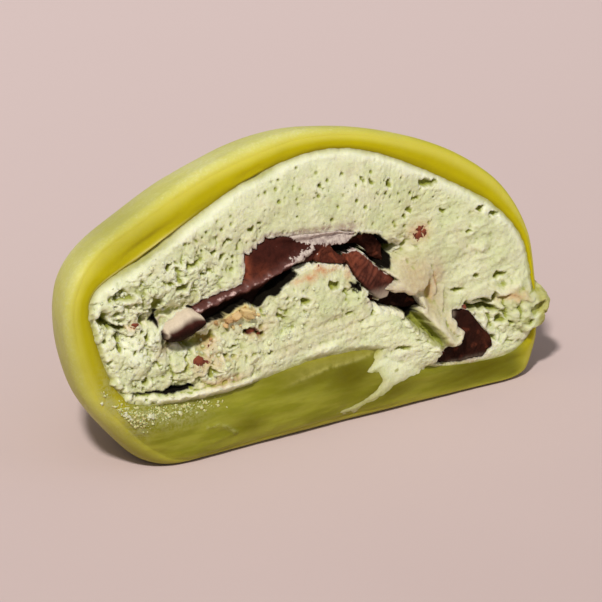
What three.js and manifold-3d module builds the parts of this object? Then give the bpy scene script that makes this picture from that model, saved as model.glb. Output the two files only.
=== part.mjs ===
import * as THREE from 'three';
import { mergeVertices } from 'three/addons/utils/BufferGeometryUtils.js';
import Module from 'manifold-3d';

// Half of a round cream mochi: a soft rice skin, thick underneath, filled with whipped cream
// and broken chocolate plates. It rests on its flat base with the cut face in front.
// Millimetres, +Z up. The cut face looks along -Y and leans back. Outlines are given on that
// face, as [across, up]: across runs along +X and up runs up the leaning face from the base.

// ---------------------------------------------------------------- driving dimensions

const FACE_LEAN = THREE.MathUtils.degToRad(15);
// Depth behind the cut, and the point across and up that the sections shrink towards.
const SKIN_BODY = { depth: 33, pole: [5, 8] };
const FILLING_BODY = { depth: 29.6, pole: [5, 13] };
const WIDEST_AHEAD = 10; // the full section would lie this far in front of the cut
const FACE_CENTRE = [0, 19]; // outlines are read as radii about this point
const EDGE_ROUND = 1.5; // rounding where the outer surface turns into the cut, along the depth
const EDGE_INSET = 0.9; // and how far that rounding draws the edge inwards
const FIT_GAP = 0.3; // clearance between touching pieces
const SHELL_GAP = 0.36; // clearance between the cream and the skin round it, along a radius
const BASE_MIDDLE = [1.55, 17.69]; // centre of the footprint, which becomes the origin

// The skin swells behind the cut: a little all round, and more where it hangs out at the lower
// left. Each swelling is nearly whole once it is a few times its reach behind the cut.
const SWELL = { height: 0.4, reach: 1.5 };
const FLANK = { height: 3, reach: 5, angle: THREE.MathUtils.degToRad(-150), spread: 0.55 };

// Where the skin's outer surface meets the cut. What lies below zero is pressed flat.
const SKIN_EDGE = [
  [0, 42.3], [11, 41.4], [21, 38.5], [29.4, 34.5], [36.2, 28.8], [39.6, 22], [40, 14],
  [39.3, 7.5], [36.8, 1.4], [30.5, -3.2], [20, -4.2], [-17, -4], [-27.2, 1.5], [-32.6, 7],
  [-36.4, 12.8], [-37.9, 20], [-36.9, 26.6], [-33, 31.3], [-26, 34.8], [-13.5, 39.6],
];

// Where the skin meets the cream: a thin wall all round, and a thick fold underneath.
const CREAM_EDGE = [
  [0.6, 38.8], [8, 39], [15.6, 37], [25.6, 31.6], [33.6, 26.2], [37.9, 20.5], [38.7, 13.5],
  [37.8, 7.2], [33.5, 4.3], [26, 4.2], [18, 5.6], [9.6, 9.8], [0, 10.3], [-12, 9],
  [-21, 8.6], [-28.4, 9.4], [-31.2, 11.4], [-33, 15.6], [-34.1, 20.5], [-34.6, 24.2],
  [-32.8, 27.4], [-25.4, 30.4], [-16.4, 34.3], [-8.4, 37.2],
];

// Soft rises and hollows of the cut cream: [across, up, reach across, reach up, height].
const CREAM_RELIEF = [
  [-28, 25, 4, 3, 1.1], [-21, 26, 5, 3, 0.7], [-27, 17, 4, 3, 0.9], [-14, 32, 9, 3, 0.6],
  [-16, 12, 8, 2.5, 0.8], [4, 33, 14, 4, 0.5], [2, 19, 7, 5, 1], [14, 12, 9, 4, 1.2],
  [20, 22, 4, 4, 0.8], [31, 24, 6, 6, 0.4], [36, 10.5, 3, 3, 1.6], [20, 8.5, 5, 3, 1.3],
  [-24, 21.5, 4, 0.9, -1.2], [-22, 11.2, 5, 0.8, -1.4], [16.5, 23, 2.5, 1.5, -1.6],
  [21, 12, 2.5, 3, -0.9], [29.5, 12.5, 5, 1, -1.3], [39, 16, 2, 2, -0.5],
];

// Crumbly unevenness of the cream's left half: crossed slanting waves, faded out to the right.
const CRUMB = {
  height: 0.35, waveAcross: 5.6, slantAcross: 0.4, waveUp: 4.4, slantUp: -0.3, reach: 16, middle: -26,
};
const CREAM_PROUD = 0.35; // the cream swells this far out of the cut
const CREAM_FADE = 6; // power of the share of the radius by which its relief dies at its edge

const PAD_ROUND = 4; // power that keeps a pad's front full and rounds it off near its outline

// The cream that hangs over the front of the skin's lower fold.
const FLAP = {
  middle: [16, 7], thick: 1.5,
  outline: [
    [24, 9.5], [14, 10.6], [11, 9], [10, 7.2], [8, 6.6], [10, 6], [10.4, 4.8], [6, 3.2],
    [5, 2.4], [8.5, 2.6], [13, 4], [17.5, 4.9], [21, 6.1], [22.6, 7.6],
  ],
};

// The crag of cream that leans out past the right-hand edge of the skin.
const CRAG = {
  middle: [36, 10.2], thick: 1.5,
  outline: [
    [41.1, 11], [40.2, 12.2], [38.4, 12.6], [35, 13.6], [31.4, 12], [31, 9.6], [33.4, 7.4],
    [36.8, 7], [39, 7.6], [40.5, 9.4],
  ],
};

// Broken chocolate: each piece's outline on the face, how far its broken front stands out of
// the cut at the outline's top and bottom (below zero is sunk), and how deep it runs behind it.
const CHOCOLATE = [
  {
    name: 'choc_plate', top: 1, bottom: 0.4, deep: 22,
    outline: [
      [-16.6, 20], [-12.8, 20.7], [-9.4, 21.7], [-6.6, 22.1], [-4.2, 22.9], [-1.3, 24],
      [1.4, 24.9], [4.2, 26.2], [9.4, 27.2], [5.6, 27.7], [0.6, 28.3], [-3, 28.6],
      [-5.6, 28.7], [-8, 27.3], [-9.2, 25.4], [-9.6, 23.7], [-13.4, 22.6], [-17.2, 21.3],
    ],
  },
  {
    name: 'choc_shard', top: 0.6, bottom: 0.9, deep: 14,
    outline: [[2.2, 24.4], [6.6, 23.2], [6.8, 24.4], [7.6, 25.3], [5, 26], [3.2, 25.3]],
  },
  {
    name: 'choc_back', top: -1.6, bottom: -1.8, deep: 20,
    outline: [
      [9, 25.2], [10.9, 24.6], [13, 22], [14.2, 21.4], [14.4, 23.6], [13.6, 25.3], [11, 26.1],
    ],
  },
  {
    name: 'choc_slab', top: 0.2, bottom: 1.6, deep: 16,
    outline: [
      [7.3, 23], [8.4, 20.4], [10.5, 18.2], [12, 18.4], [15.8, 19.4], [12.6, 21.4],
      [10.4, 24], [9.8, 24.5], [8, 24.3],
    ],
  },
  {
    name: 'choc_lip', top: -0.4, bottom: -0.8, deep: 18,
    outline: [[10.8, 16.9], [13.8, 15.3], [18, 15.4], [18.6, 16.4], [16, 17.6], [12.2, 17.8]],
  },
  {
    name: 'choc_wedge', top: 0.3, bottom: -0.5, deep: 20,
    outline: [
      [21.2, 6.1], [23.6, 5.5], [28.8, 5.4], [30.1, 6.2], [29, 8.6], [27, 10.8],
      [25.8, 9.6], [23, 8.3],
    ],
  },
  {
    name: 'choc_curl', top: 1.6, bottom: 0.6, deep: 9,
    outline: [
      [-23.4, 18.8], [-21.4, 17.3], [-17.4, 18.4], [-17.2, 19.6], [-19.4, 20.8], [-22.2, 20.4],
    ],
  },
];

// The dark hollow under the plate, where the cream has pulled away from it.
const HOLLOW = {
  deep: 5,
  outline: [
    [-16.4, 20.6], [-15.8, 19.4], [-12.6, 20], [-9.4, 20.9], [-7.6, 19.9], [-6, 20.8],
    [-3.8, 21.9], [-0.8, 23], [2, 23.8], [1.6, 25], [-2, 24.2], [-8, 22.4],
  ],
};

// The cutters of sockets and hollow start this far in front of the cut, clear of all relief.
const CLEAR_AHEAD = 8;

// Facets
const AROUND = 80; // sides of every ring about the face centre
const OUTER_RINGS = [0.985, 0.93, 0.83, 0.71, 0.58, 0.45, 0.32, 0.2, 0.11]; // shares of the depth
const INNER_RINGS = [0.08, ...OUTER_RINGS.toReversed()];
const ROUND_STEPS = 3;
const CUT_RINGS = 2;
const CREAM_RINGS = 15;
const OUTLINE_SAMPLES = 1440;
const PAD_SIDES = 36;
const PAD_RINGS = [0.4, 0.72, 0.9, 0.98];
const CHOCOLATE_STEPS = 4;
const SOCKET_STEPS = 6;
const HOLLOW_STEPS = 4;
const WELD = 1e-3; // points closer than this are one
const GROUND = { wide: 200, thick: 40 };

// ---------------------------------------------------------------- materials

const skinMaterial = new THREE.MeshStandardMaterial({
  name: 'rice_skin', color: 0xb9b23c, roughness: 0.55, metalness: 0,
});
const creamMaterial = new THREE.MeshStandardMaterial({
  name: 'cream', color: 0xd8e0b0, roughness: 0.85, metalness: 0,
});
const chocolateMaterial = new THREE.MeshStandardMaterial({
  name: 'chocolate', color: 0x3e2119, roughness: 0.5, metalness: 0,
});

// ---------------------------------------------------------------- outlines and sections

// A smooth closed curve through hand-set points, sampled evenly in its parameter.
function smoothLoop(points, samples) {
  const knots = points.map(([across, up]) => new THREE.Vector3(across, up, 0));
  const curve = new THREE.CatmullRomCurve3(knots, true, 'catmullrom', 0.5);
  return curve.getPoints(samples).slice(0, samples);
}

// An outline as a function of direction: its distance from a point inside it.
function radiusOf(points, middle) {
  const polar = smoothLoop(points, OUTLINE_SAMPLES).map((p) => {
    const across = p.x - middle[0];
    const up = p.y - middle[1];
    return { angle: Math.atan2(up, across), radius: Math.hypot(across, up) };
  });
  polar.sort((a, b) => a.angle - b.angle);
  const last = polar[polar.length - 1];
  const first = polar[0];
  polar.unshift({ angle: last.angle - 2 * Math.PI, radius: last.radius });
  polar.push({ angle: first.angle + 2 * Math.PI, radius: first.radius });
  return (angle) => {
    const turned = THREE.MathUtils.euclideanModulo(angle + Math.PI, 2 * Math.PI) - Math.PI;
    const next = polar.findIndex((sample) => sample.angle >= turned);
    const a = polar[Math.max(next - 1, 0)];
    const b = polar[Math.max(next, 1)];
    const share = (turned - a.angle) / (b.angle - a.angle || 1);
    return THREE.MathUtils.lerp(a.radius, b.radius, share);
  };
}

const skinRadius = radiusOf(SKIN_EDGE, FACE_CENTRE);
const creamRadius = radiusOf(CREAM_EDGE, FACE_CENTRE);

// Size of the section at a distance behind the cut: an ellipse whose middle is ahead of it.
function sectionScale(back, depth) {
  const full = depth + WIDEST_AHEAD;
  const here = 1 - ((back + WIDEST_AHEAD) / full) ** 2;
  const atCut = 1 - (WIDEST_AHEAD / full) ** 2;
  return Math.sqrt(Math.max(here, 0) / atCut);
}

// How far the skin has swollen at a distance behind the cut.
function swell(back, angle) {
  const turned = THREE.MathUtils.euclideanModulo(angle - FLANK.angle + Math.PI, 2 * Math.PI) - Math.PI;
  const flank = FLANK.height * Math.exp(-((turned / FLANK.spread) ** 2));
  return SWELL.height * (1 - Math.exp(-back / SWELL.reach)) + flank * (1 - Math.exp(-back / FLANK.reach));
}

// Face coordinates and a distance behind the face, as a point of the frame.
function onFace(across, up, back) {
  return new THREE.Vector3(
    across - BASE_MIDDLE[0],
    up * Math.sin(FACE_LEAN) + back - BASE_MIDDLE[1],
    up * Math.cos(FACE_LEAN),
  );
}

// A point of a body that tapers from the face to its rear pole.
function tapered(across, up, back, { depth, pole }) {
  const scale = sectionScale(back, depth);
  return onFace(pole[0] + (across - pole[0]) * scale, pole[1] + (up - pole[1]) * scale, back);
}

function onRay(angle, radius, middle = FACE_CENTRE) {
  return [middle[0] + radius * Math.cos(angle), middle[1] + radius * Math.sin(angle)];
}

// One ring of points; place(angle) gives each point.
function ring(place, sides = AROUND) {
  return Array.from({ length: sides }, (_, i) => place((2 * Math.PI * i) / sides));
}

// ---------------------------------------------------------------- meshes and solids

// A closed surface: a first pole, rings of equal length, and a last pole.
function closedRings(firstPole, rings, lastPole) {
  const points = [firstPole, ...rings.flat(), lastPole];
  const sides = rings[0].length;
  const at = (row, i) => 1 + row * sides + (i % sides);
  const triangles = [];
  for (let i = 0; i < sides; i += 1) {
    triangles.push(0, at(0, i + 1), at(0, i));
    for (let row = 0; row + 1 < rings.length; row += 1) {
      triangles.push(at(row, i), at(row, i + 1), at(row + 1, i + 1));
      triangles.push(at(row, i), at(row + 1, i + 1), at(row + 1, i));
    }
    triangles.push(points.length - 1, at(rings.length - 1, i), at(rings.length - 1, i + 1));
  }
  return facesOutwards(points, triangles);
}

// Turns the triangles round if they enclose a negative volume.
function facesOutwards(points, triangles) {
  let volume = 0;
  for (let i = 0; i < triangles.length; i += 3) {
    const [a, b, c] = [points[triangles[i]], points[triangles[i + 1]], points[triangles[i + 2]]];
    volume += a.dot(new THREE.Vector3().crossVectors(b, c));
  }
  const geometry = new THREE.BufferGeometry().setFromPoints(points);
  geometry.setIndex(volume > 0 ? triangles : triangles.toReversed());
  return geometry;
}

const wasm = await Module();
wasm.setup();

function toSolid(geometry) {
  geometry.deleteAttribute('normal');
  geometry.deleteAttribute('uv');
  const merged = mergeVertices(geometry, WELD);
  return new wasm.Manifold(new wasm.Mesh({
    numProp: 3,
    vertProperties: new Float32Array(merged.attributes.position.array),
    triVerts: new Uint32Array(merged.index.array),
  }));
}

function toMesh(solid, name, material) {
  const { vertProperties, triVerts } = solid.getMesh();
  const geometry = new THREE.BufferGeometry();
  geometry.setAttribute('position', new THREE.BufferAttribute(new Float32Array(vertProperties), 3));
  geometry.setIndex(new THREE.BufferAttribute(new Uint32Array(triVerts), 1));
  geometry.computeVertexNormals();
  const mesh = new THREE.Mesh(geometry, material);
  mesh.name = name;
  return mesh;
}

// Everything under the resting plane, as one block.
function ground() {
  const block = new THREE.BoxGeometry(GROUND.wide, GROUND.wide, GROUND.thick);
  block.translate(0, 0, -GROUND.thick / 2);
  return toSolid(block);
}

// ---------------------------------------------------------------- the rice skin

function skinSolid() {
  const outer = OUTER_RINGS.map((share) => ring((angle) => {
    const back = share * SKIN_BODY.depth;
    const [across, up] = onRay(angle, skinRadius(angle) + swell(back, angle));
    return tapered(across, up, back, SKIN_BODY);
  }));
  const rounding = Array.from({ length: ROUND_STEPS + 1 }, (_, step) => {
    const turn = (Math.PI / 2) * (step / ROUND_STEPS);
    const back = EDGE_ROUND * (1 - Math.sin(turn));
    const inset = EDGE_INSET * (1 - Math.cos(turn));
    return ring((angle) => {
      const [across, up] = onRay(angle, skinRadius(angle) + swell(back, angle) - inset);
      return tapered(across, up, back, SKIN_BODY);
    });
  });
  const cut = Array.from({ length: CUT_RINGS }, (_, i) => ring((angle) => {
    const outside = skinRadius(angle) - EDGE_INSET;
    const share = (i + 1) / CUT_RINGS;
    return onFace(...onRay(angle, THREE.MathUtils.lerp(outside, creamRadius(angle), share)), 0);
  }));
  const cavity = INNER_RINGS.map((share) => ring((angle) => (
    tapered(...onRay(angle, creamRadius(angle)), share * FILLING_BODY.depth, FILLING_BODY)
  )));
  const rings = [...outer, ...rounding, ...cut, ...cavity];
  const rear = onFace(...SKIN_BODY.pole, SKIN_BODY.depth);
  const inside = onFace(...FILLING_BODY.pole, FILLING_BODY.depth);
  return toSolid(closedRings(rear, rings, inside)).subtract(ground());
}

// ---------------------------------------------------------------- chocolate

// An outline moved outwards by a distance, corner by corner.
function grown(outline, distance) {
  const count = outline.length;
  let area = 0;
  outline.forEach(([x, y], i) => {
    const [nx, ny] = outline[(i + 1) % count];
    area += x * ny - nx * y;
  });
  const side = Math.sign(area);
  return outline.map(([x, y], i) => {
    const before = new THREE.Vector2(...outline[(i + count - 1) % count]);
    const after = new THREE.Vector2(...outline[(i + 1) % count]);
    const here = new THREE.Vector2(x, y);
    const into = here.clone().sub(before).normalize();
    const out = after.clone().sub(here).normalize();
    const normal = new THREE.Vector2(into.y + out.y, -into.x - out.x).normalize();
    const spread = Math.max(Math.sqrt((1 + into.dot(out)) / 2), 0.5);
    return here.addScaledVector(normal, (side * distance) / spread).toArray();
  });
}

// An outline on the face carried back through the filling, tapering as the body does.
// front(across, up) gives how far its front lies behind the cut.
function runBack(outline, front, deep, steps) {
  const caps = THREE.ShapeUtils.triangulateShape(outline.map((p) => new THREE.Vector2(...p)), []);
  const rows = Array.from({ length: steps + 1 }, (_, row) => outline.map(([across, up]) => {
    const start = front(across, up);
    const back = THREE.MathUtils.lerp(start, deep, row / steps);
    return back > 0 ? tapered(across, up, back, FILLING_BODY) : onFace(across, up, back);
  }));
  const count = outline.length;
  const triangles = [];
  for (let row = 0; row < steps; row += 1) {
    for (let i = 0; i < count; i += 1) {
      const [a, b] = [row * count + i, row * count + ((i + 1) % count)];
      triangles.push(a, b, b + count, a, b + count, a + count);
    }
  }
  const last = steps * count;
  caps.forEach(([a, b, c]) => triangles.push(c, b, a, a + last, b + last, c + last));
  return facesOutwards(rows.flat(), triangles);
}

// A chocolate piece with its sloping broken front.
function chocolateSolid(piece) {
  const ups = piece.outline.map(([, up]) => up);
  const [low, high] = [Math.min(...ups), Math.max(...ups)];
  const front = (across, up) => {
    const share = THREE.MathUtils.clamp((up - low) / (high - low), 0, 1);
    return -THREE.MathUtils.lerp(piece.bottom, piece.top, share);
  };
  return toSolid(runBack(piece.outline, front, piece.deep, CHOCOLATE_STEPS));
}

// The room that a chocolate piece takes up in the cream, open at the cut.
function socketSolid(piece) {
  const outline = grown(piece.outline, FIT_GAP);
  return toSolid(runBack(outline, () => -CLEAR_AHEAD, piece.deep + FIT_GAP, SOCKET_STEPS));
}

function hollowSolid() {
  return toSolid(runBack(HOLLOW.outline, () => -CLEAR_AHEAD, HOLLOW.deep, HOLLOW_STEPS));
}

// ---------------------------------------------------------------- cream

// How far the cut cream stands out of the face, fading out towards its own edge.
function creamHeight(across, up, share) {
  const lumps = CREAM_RELIEF.reduce((sum, [x, y, reachX, reachY, height]) => (
    sum + height * Math.exp(-(((across - x) / reachX) ** 2) - (((up - y) / reachY) ** 2))
  ), CREAM_PROUD);
  const waveAcross = Math.sin((2 * Math.PI * (across + CRUMB.slantAcross * up)) / CRUMB.waveAcross);
  const waveUp = Math.sin((2 * Math.PI * (up + CRUMB.slantUp * across)) / CRUMB.waveUp);
  const fade = Math.exp(-(((across - CRUMB.middle) / CRUMB.reach) ** 2));
  return (lumps + CRUMB.height * fade * waveAcross * waveUp) * (1 - share ** CREAM_FADE);
}

function creamBody() {
  const edge = (angle) => creamRadius(angle) - SHELL_GAP;
  const body = { depth: FILLING_BODY.depth - FIT_GAP, pole: FILLING_BODY.pole };
  const front = Array.from({ length: CREAM_RINGS }, (_, i) => ring((angle) => {
    const share = (i + 1) / CREAM_RINGS;
    const [across, up] = onRay(angle, edge(angle) * share);
    return onFace(across, up, -creamHeight(across, up, share));
  }));
  const sides = INNER_RINGS.map((share) => ring((angle) => (
    tapered(...onRay(angle, edge(angle)), share * body.depth, body)
  )));
  const middle = onFace(...FACE_CENTRE, -creamHeight(...FACE_CENTRE, 0));
  const rear = onFace(...body.pole, body.depth);
  return toSolid(closedRings(middle, [...front, ...sides], rear));
}

// A pad of cream in front of the cut: flat behind, rounded off towards its outline in front.
function padSolid({ outline, middle, thick }) {
  const radius = radiusOf(outline, middle);
  const rings = PAD_RINGS.map((share) => ring((angle) => onFace(
    ...onRay(angle, radius(angle) * share, middle),
    -FIT_GAP - thick * Math.sqrt(1 - share ** PAD_ROUND),
  ), PAD_SIDES));
  rings.push(ring((angle) => onFace(...onRay(angle, radius(angle), middle), -FIT_GAP), PAD_SIDES));
  const top = onFace(...middle, -FIT_GAP - thick);
  return toSolid(closedRings(top, rings, onFace(...middle, -FIT_GAP)));
}

function creamSolid() {
  let cream = creamBody().add(padSolid(FLAP)).add(padSolid(CRAG));
  CHOCOLATE.forEach((piece) => {
    cream = cream.subtract(socketSolid(piece));
  });
  return cream.subtract(hollowSolid());
}

// ---------------------------------------------------------------- the model

const group = new THREE.Group();
group.add(toMesh(skinSolid(), 'skin', skinMaterial));
group.add(toMesh(creamSolid(), 'cream', creamMaterial));
CHOCOLATE.forEach((piece) => {
  group.add(toMesh(chocolateSolid(piece), piece.name, chocolateMaterial));
});

export default group;
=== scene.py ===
"""Looks of half a soft green rice cake: a rice skin round whipped cream and broken chocolate.

Lengths are millimetres until a mesh is made. The cut face leans back, and outlines on it are
given as (across, up). A surface lies "back" behind that face along +Y, or "proud" in front of it.
"""
import math

import bpy
import numpy as np
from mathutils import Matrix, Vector


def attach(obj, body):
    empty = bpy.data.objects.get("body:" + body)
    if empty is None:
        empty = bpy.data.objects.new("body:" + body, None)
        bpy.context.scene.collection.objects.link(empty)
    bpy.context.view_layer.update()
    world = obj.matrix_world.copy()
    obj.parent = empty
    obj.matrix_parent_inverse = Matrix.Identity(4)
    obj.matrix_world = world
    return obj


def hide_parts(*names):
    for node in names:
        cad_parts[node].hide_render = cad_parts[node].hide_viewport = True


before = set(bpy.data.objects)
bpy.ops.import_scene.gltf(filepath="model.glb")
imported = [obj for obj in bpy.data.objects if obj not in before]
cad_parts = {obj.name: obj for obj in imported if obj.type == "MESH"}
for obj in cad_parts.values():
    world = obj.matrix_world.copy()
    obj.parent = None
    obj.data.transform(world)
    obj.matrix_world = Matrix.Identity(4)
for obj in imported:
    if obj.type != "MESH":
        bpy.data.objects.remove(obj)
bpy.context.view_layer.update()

MM = 0.001

# ------------ driving dimensions

LEAN = math.radians(15)
BASE_MIDDLE = (1.55, 17.69)  # centre of the footprint, which is the origin
FACE_CENTRE = (0.0, 19.0)  # outlines are read as radii about this point
WIDEST_AHEAD = 10.0  # the full section would lie this far in front of the cut
SKIN_BODY = {"depth": 33.0, "pole": (5.0, 8.0)}
FILLING_BODY = {"depth": 29.6, "pole": (5.0, 13.0)}
SWELL = {"height": 0.4, "reach": 1.5}
FLANK = {"height": 3.0, "reach": 5.0, "angle": math.radians(-150), "spread": 0.55}
FOOT_ROUND = 2.4  # rounding where the flanks turn under to the flat base
SKIN_LUMPS = {"centre": (5.0, 15.0), "coarse": (11, 0.28), "fine": (4.2, 0.07), "less": 0.15}
SHELL_GAP = 0.36
ROUND_BACK = 1.8  # the rounded edge of the cut starts this far behind the face
CREAM_PROUD = 0.35

# How finely the meshes are divided.
SKIN_SIDES = 640
DOME_ROWS, EDGE_ROWS, BAND_ROWS = 56, 15, 46
CAVITY_STEPS = (0.04, 0.1, 0.2, 0.32, 0.45, 0.58, 0.71, 0.83, 0.93, 0.985)
SHEET_CELLS = (430, 198)
SHEET_PAST = 0.7  # how far the sheet reaches past the cream's edge at least
REAR_STEPS = (0.08, 0.14, 0.26, 0.4, 0.55, 0.7, 0.83, 0.93, 0.985)
PLANK_LENGTH, PLANK_FRONT, PLANK_EDGE, PLANK_REAR = 150, 34, 12, 4
DOTS = 96  # pits and domes come again after so many squares

OUTLINE_POINTS = 160  # on a smooth outline that distances are measured to

# Loose bits: how many are drawn before those in the wrong place are left out, their least size
# and how much larger they come, and how far from other things they are kept.
CRUMBS = {"count": 600, "size": 0.12, "more": 0.28, "sunk": 0.1}
CRUMBS_CLEAR = {"edge": 0.8, "chocolate": 0.3, "opening": 0.2}
POWDER = {"count": 640, "size": 0.07, "more": 0.2}
POWDER_CLEAR = {"cream": 0.3, "edge": 1.8}

# Outlines of the skin, the cream, its flap over the lower fold and the crag at the right end.
SKIN_EDGE = [
    (0, 42.3), (11, 41.4), (21, 38.5), (29.4, 34.5), (36.2, 28.8), (39.6, 22), (40, 14), (39.3, 7.5),
    (36.8, 1.4), (30.5, -3.2), (20, -4.2), (-17, -4), (-27.2, 1.5), (-32.6, 7), (-36.4, 12.8), (-37.9, 20),
    (-36.9, 26.6), (-33, 31.3), (-26, 34.8), (-13.5, 39.6),
]
CREAM_EDGE = [
    (0.6, 38.8), (8, 39), (15.6, 37), (25.6, 31.6), (33.6, 26.2), (37.9, 20.5), (38.7, 13.5), (37.8, 7.2),
    (33.5, 4.3), (26, 4.2), (18, 5.6), (9.6, 9.8), (0, 10.3), (-12, 9), (-21, 8.9), (-28.4, 9.8),
    (-31.2, 11.6), (-33, 15.6), (-34, 20.5), (-34.1, 24), (-32.3, 26.9), (-25, 29.8), (-16.1, 33.5),
    (-8.2, 36.7),
]
FLAP = [
    (24, 9.5), (14, 10.8), (11.2, 10.1), (10, 9.1), (8.8, 8.2), (7.8, 7.4), (6.9, 6.9), (8, 6.4),
    (9.5, 6.1), (9.9, 5.4), (9.1, 4.6), (7.2, 3.6), (5, 2.8), (1.6, 2.1), (5.2, 1.8), (8.7, 2.4), (10.6, 3),
    (12.2, 3.7), (14.5, 4.1), (17.1, 4.5), (18.8, 5.3), (20.7, 6.2), (22.6, 7.6),
]
CRAG = [
    (41.1, 11), (40.2, 12.2), (38.4, 12.6), (35, 13.6), (31.4, 12), (31, 9.6), (33.4, 7.4), (36.8, 7),
    (39, 7.6), (40.5, 9.4),
]
# Where the cream's front sheet ends: past the skin's inner edge, the flap and the crag.
SHEET_EDGE = [
    (0.6, 39.1), (8, 39.3), (15.8, 37.3), (25.8, 31.9), (33.9, 26.4), (38.2, 20.6), (39.4, 14.6),
    (41.4, 12.2), (41.5, 10.4), (40.2, 7.4), (38, 4.6), (33.5, 3.6), (26, 3.9), (20, 4.6), (13, 3),
    (8.6, 1.6), (4, 1), (-3, 1.2), (-11, 2.8), (-18, 4.8), (-24.6, 4.8), (-31, 6.4), (-34.6, 10.4),
    (-35.6, 15), (-35, 20.5), (-35, 24.3), (-33.1, 27.8), (-25.6, 30.8), (-16.6, 34.7), (-8.5, 37.5),
]

# Broken chocolate. Each piece is carried between its low and its high edge, given from end to
# end. seen is its outline where the cream leaves it bare, if that is less. top and bottom say how
# proud those edges are of the cut, deep how far back it runs, and soft how often they are smoothed.
CHOCOLATE = {
    "choc_plate": {
        "low": [(-17.6, 18.8), (-14.3, 19.3), (-11.8, 20.3), (-9.7, 20.7), (-8.9, 20.1), (-8.2, 19.3),
            (-7.5, 20.4), (-6.4, 21.3), (-5.6, 22), (-4.5, 22.5), (-3, 23.1), (-1.1, 23.4), (0.2, 23.6),
            (1.8, 24.1), (3.2, 25), (4.8, 25.7), (7.6, 25.4), (9.8, 26.8)],
        "high": [(-18.2, 21.5), (-16.6, 22.1), (-13.8, 22.6), (-11.5, 22.9), (-10, 23.3), (-9.4, 24),
            (-9.1, 25.5), (-8.6, 26.9), (-7.6, 27.3), (-6.6, 27.9), (-5.4, 28.5), (-4.2, 28.8),
            (-3.2, 28.7), (-1.5, 28.5), (1, 28.2), (3.9, 27.9), (6.8, 27.6), (9.8, 26.8)],
        "top": 0.3, "bottom": 0.4, "deep": 22.0,
    },
    "choc_shard": {
        "low": [(2, 24.6), (2.1, 24.2), (4.5, 23.4), (6.9, 22.8), (7.4, 23.2)],
        "high": [(2, 24.6), (3.4, 25.6), (4.9, 26.2), (5.7, 25), (6.2, 24.4), (7.4, 23.6)],
        "top": 0.5, "bottom": 0.8, "deep": 14.0,
    },
    "choc_back": {
        "low": [(8.6, 25), (10.9, 24.2), (13, 22), (14.4, 21.4)],
        "high": [(8.6, 25), (11, 26.3), (13.6, 25.5), (14.8, 23.8), (14.4, 21.4)],
        "top": -1.2, "bottom": -2.0, "deep": 20.0,
    },
    "choc_slab": {
        "low": [(7.2, 23.4), (7.7, 22.2), (8.6, 20.4), (10.4, 18), (11.7, 16.8), (13, 17)],
        "high": [(7.6, 24.1), (9.6, 24.3), (11, 23.1), (12.8, 21), (14.3, 19.8), (15.6, 19)],
        "seen": [(7.2, 23.4), (7.7, 22.2), (8.6, 20.4), (10.4, 18), (11.4, 17.1), (12.4, 17.9),
            (13.6, 18.5), (15.4, 19), (14.3, 19.8), (12.8, 21), (11, 23.1), (9.6, 24.3), (7.6, 24.1)],
        "top": 0.3, "bottom": 1.2, "deep": 16.0,
    },
    "choc_lip": {
        "low": [(10.6, 16.9), (12.2, 15.5), (14.1, 14.9), (15.5, 14.3), (17.5, 13.9), (19, 14.1)],
        "high": [(10.6, 16.9), (12, 17.5), (14, 18), (16, 17.8), (17.8, 16.8), (19, 14.1)],
        "seen": [(10.6, 16.9), (12.2, 15.5), (14.1, 14.9), (15.5, 14.3), (17.5, 13.9), (18.9, 14.2),
            (18.2, 15.6), (17, 16.6), (15.6, 17.3), (14, 17.3), (12.4, 16.8), (11.6, 16.5)],
        "top": -0.5, "bottom": -0.9, "deep": 18.0,
    },
    "choc_wedge": {
        "low": [(19.8, 5.6), (22.2, 4.7), (25.1, 4.5), (28.6, 4.4), (30.3, 5.6)],
        "high": [(19.8, 5.6), (22.2, 9), (23.4, 11.6), (24.4, 12.5), (25.8, 12.2), (27.4, 11.5),
            (28.8, 9.2), (30.2, 7.4), (30.3, 5.6)],
        "seen": [(19.6, 5.5), (21, 6.8), (22, 7.7), (23.2, 7.5), (24.4, 7.8), (25.5, 9.2), (24.4, 10.1),
            (24.2, 11.2), (23.4, 11.7), (24, 12.5), (25.6, 12.3), (27.2, 11.6), (28.8, 9.2), (30.2, 7.4),
            (30.3, 5.6), (28.6, 4.5), (25.1, 4.6), (22.2, 4.8)],
        "top": 0.2, "bottom": -0.2, "deep": 20.0,
    },
    "choc_curl": {
        "low": [(-24.2, 19.2), (-23.8, 18.1), (-22.6, 17.4), (-21, 17.2), (-19.4, 17.6), (-17.7, 18.4),
            (-17.1, 18.8)],
        "high": [(-24.2, 19.4), (-23.6, 19.8), (-22.4, 20.2), (-20.8, 21), (-19.2, 21.3), (-17.9, 21.1),
            (-17.3, 20.6)],
        "top": -0.1, "bottom": -0.1, "deep": 9.0, "soft": 6,
    },
}
# How deep the cream is sunk behind each piece.
SUNK = {"choc_plate": 1.8, "choc_curl": 1.4, "choc_slab": 1.2, "choc_shard": 1.4, "choc_wedge": 1.6}
# How far the cream laps over each piece's edge.
LAPPED = {"choc_plate": 0.12, "choc_back": 0.0, "choc_lip": 0.0, "choc_curl": 0.3}
# The ridge along the plate and its strip, and the outline of the bloom at the plate's right.
RIDGE = [
    (-18.4, 20.8), (-16.8, 21.3), (-15.3, 21.6), (-13.2, 22.1), (-10.8, 22.5), (-8.5, 22.8), (-6.8, 23.1),
    (-4.9, 23.7), (-2.4, 24.4), (0, 25.3), (1.2, 25.6), (4, 26.2),
]
PLATE_BLOOM = [
    (-1.6, 28.4), (0.4, 27.1), (2.6, 26.4), (4.6, 26), (7.7, 25.5), (10, 26.8), (6.8, 28), (2.7, 28.6),
    (0, 28.8),
]

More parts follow.
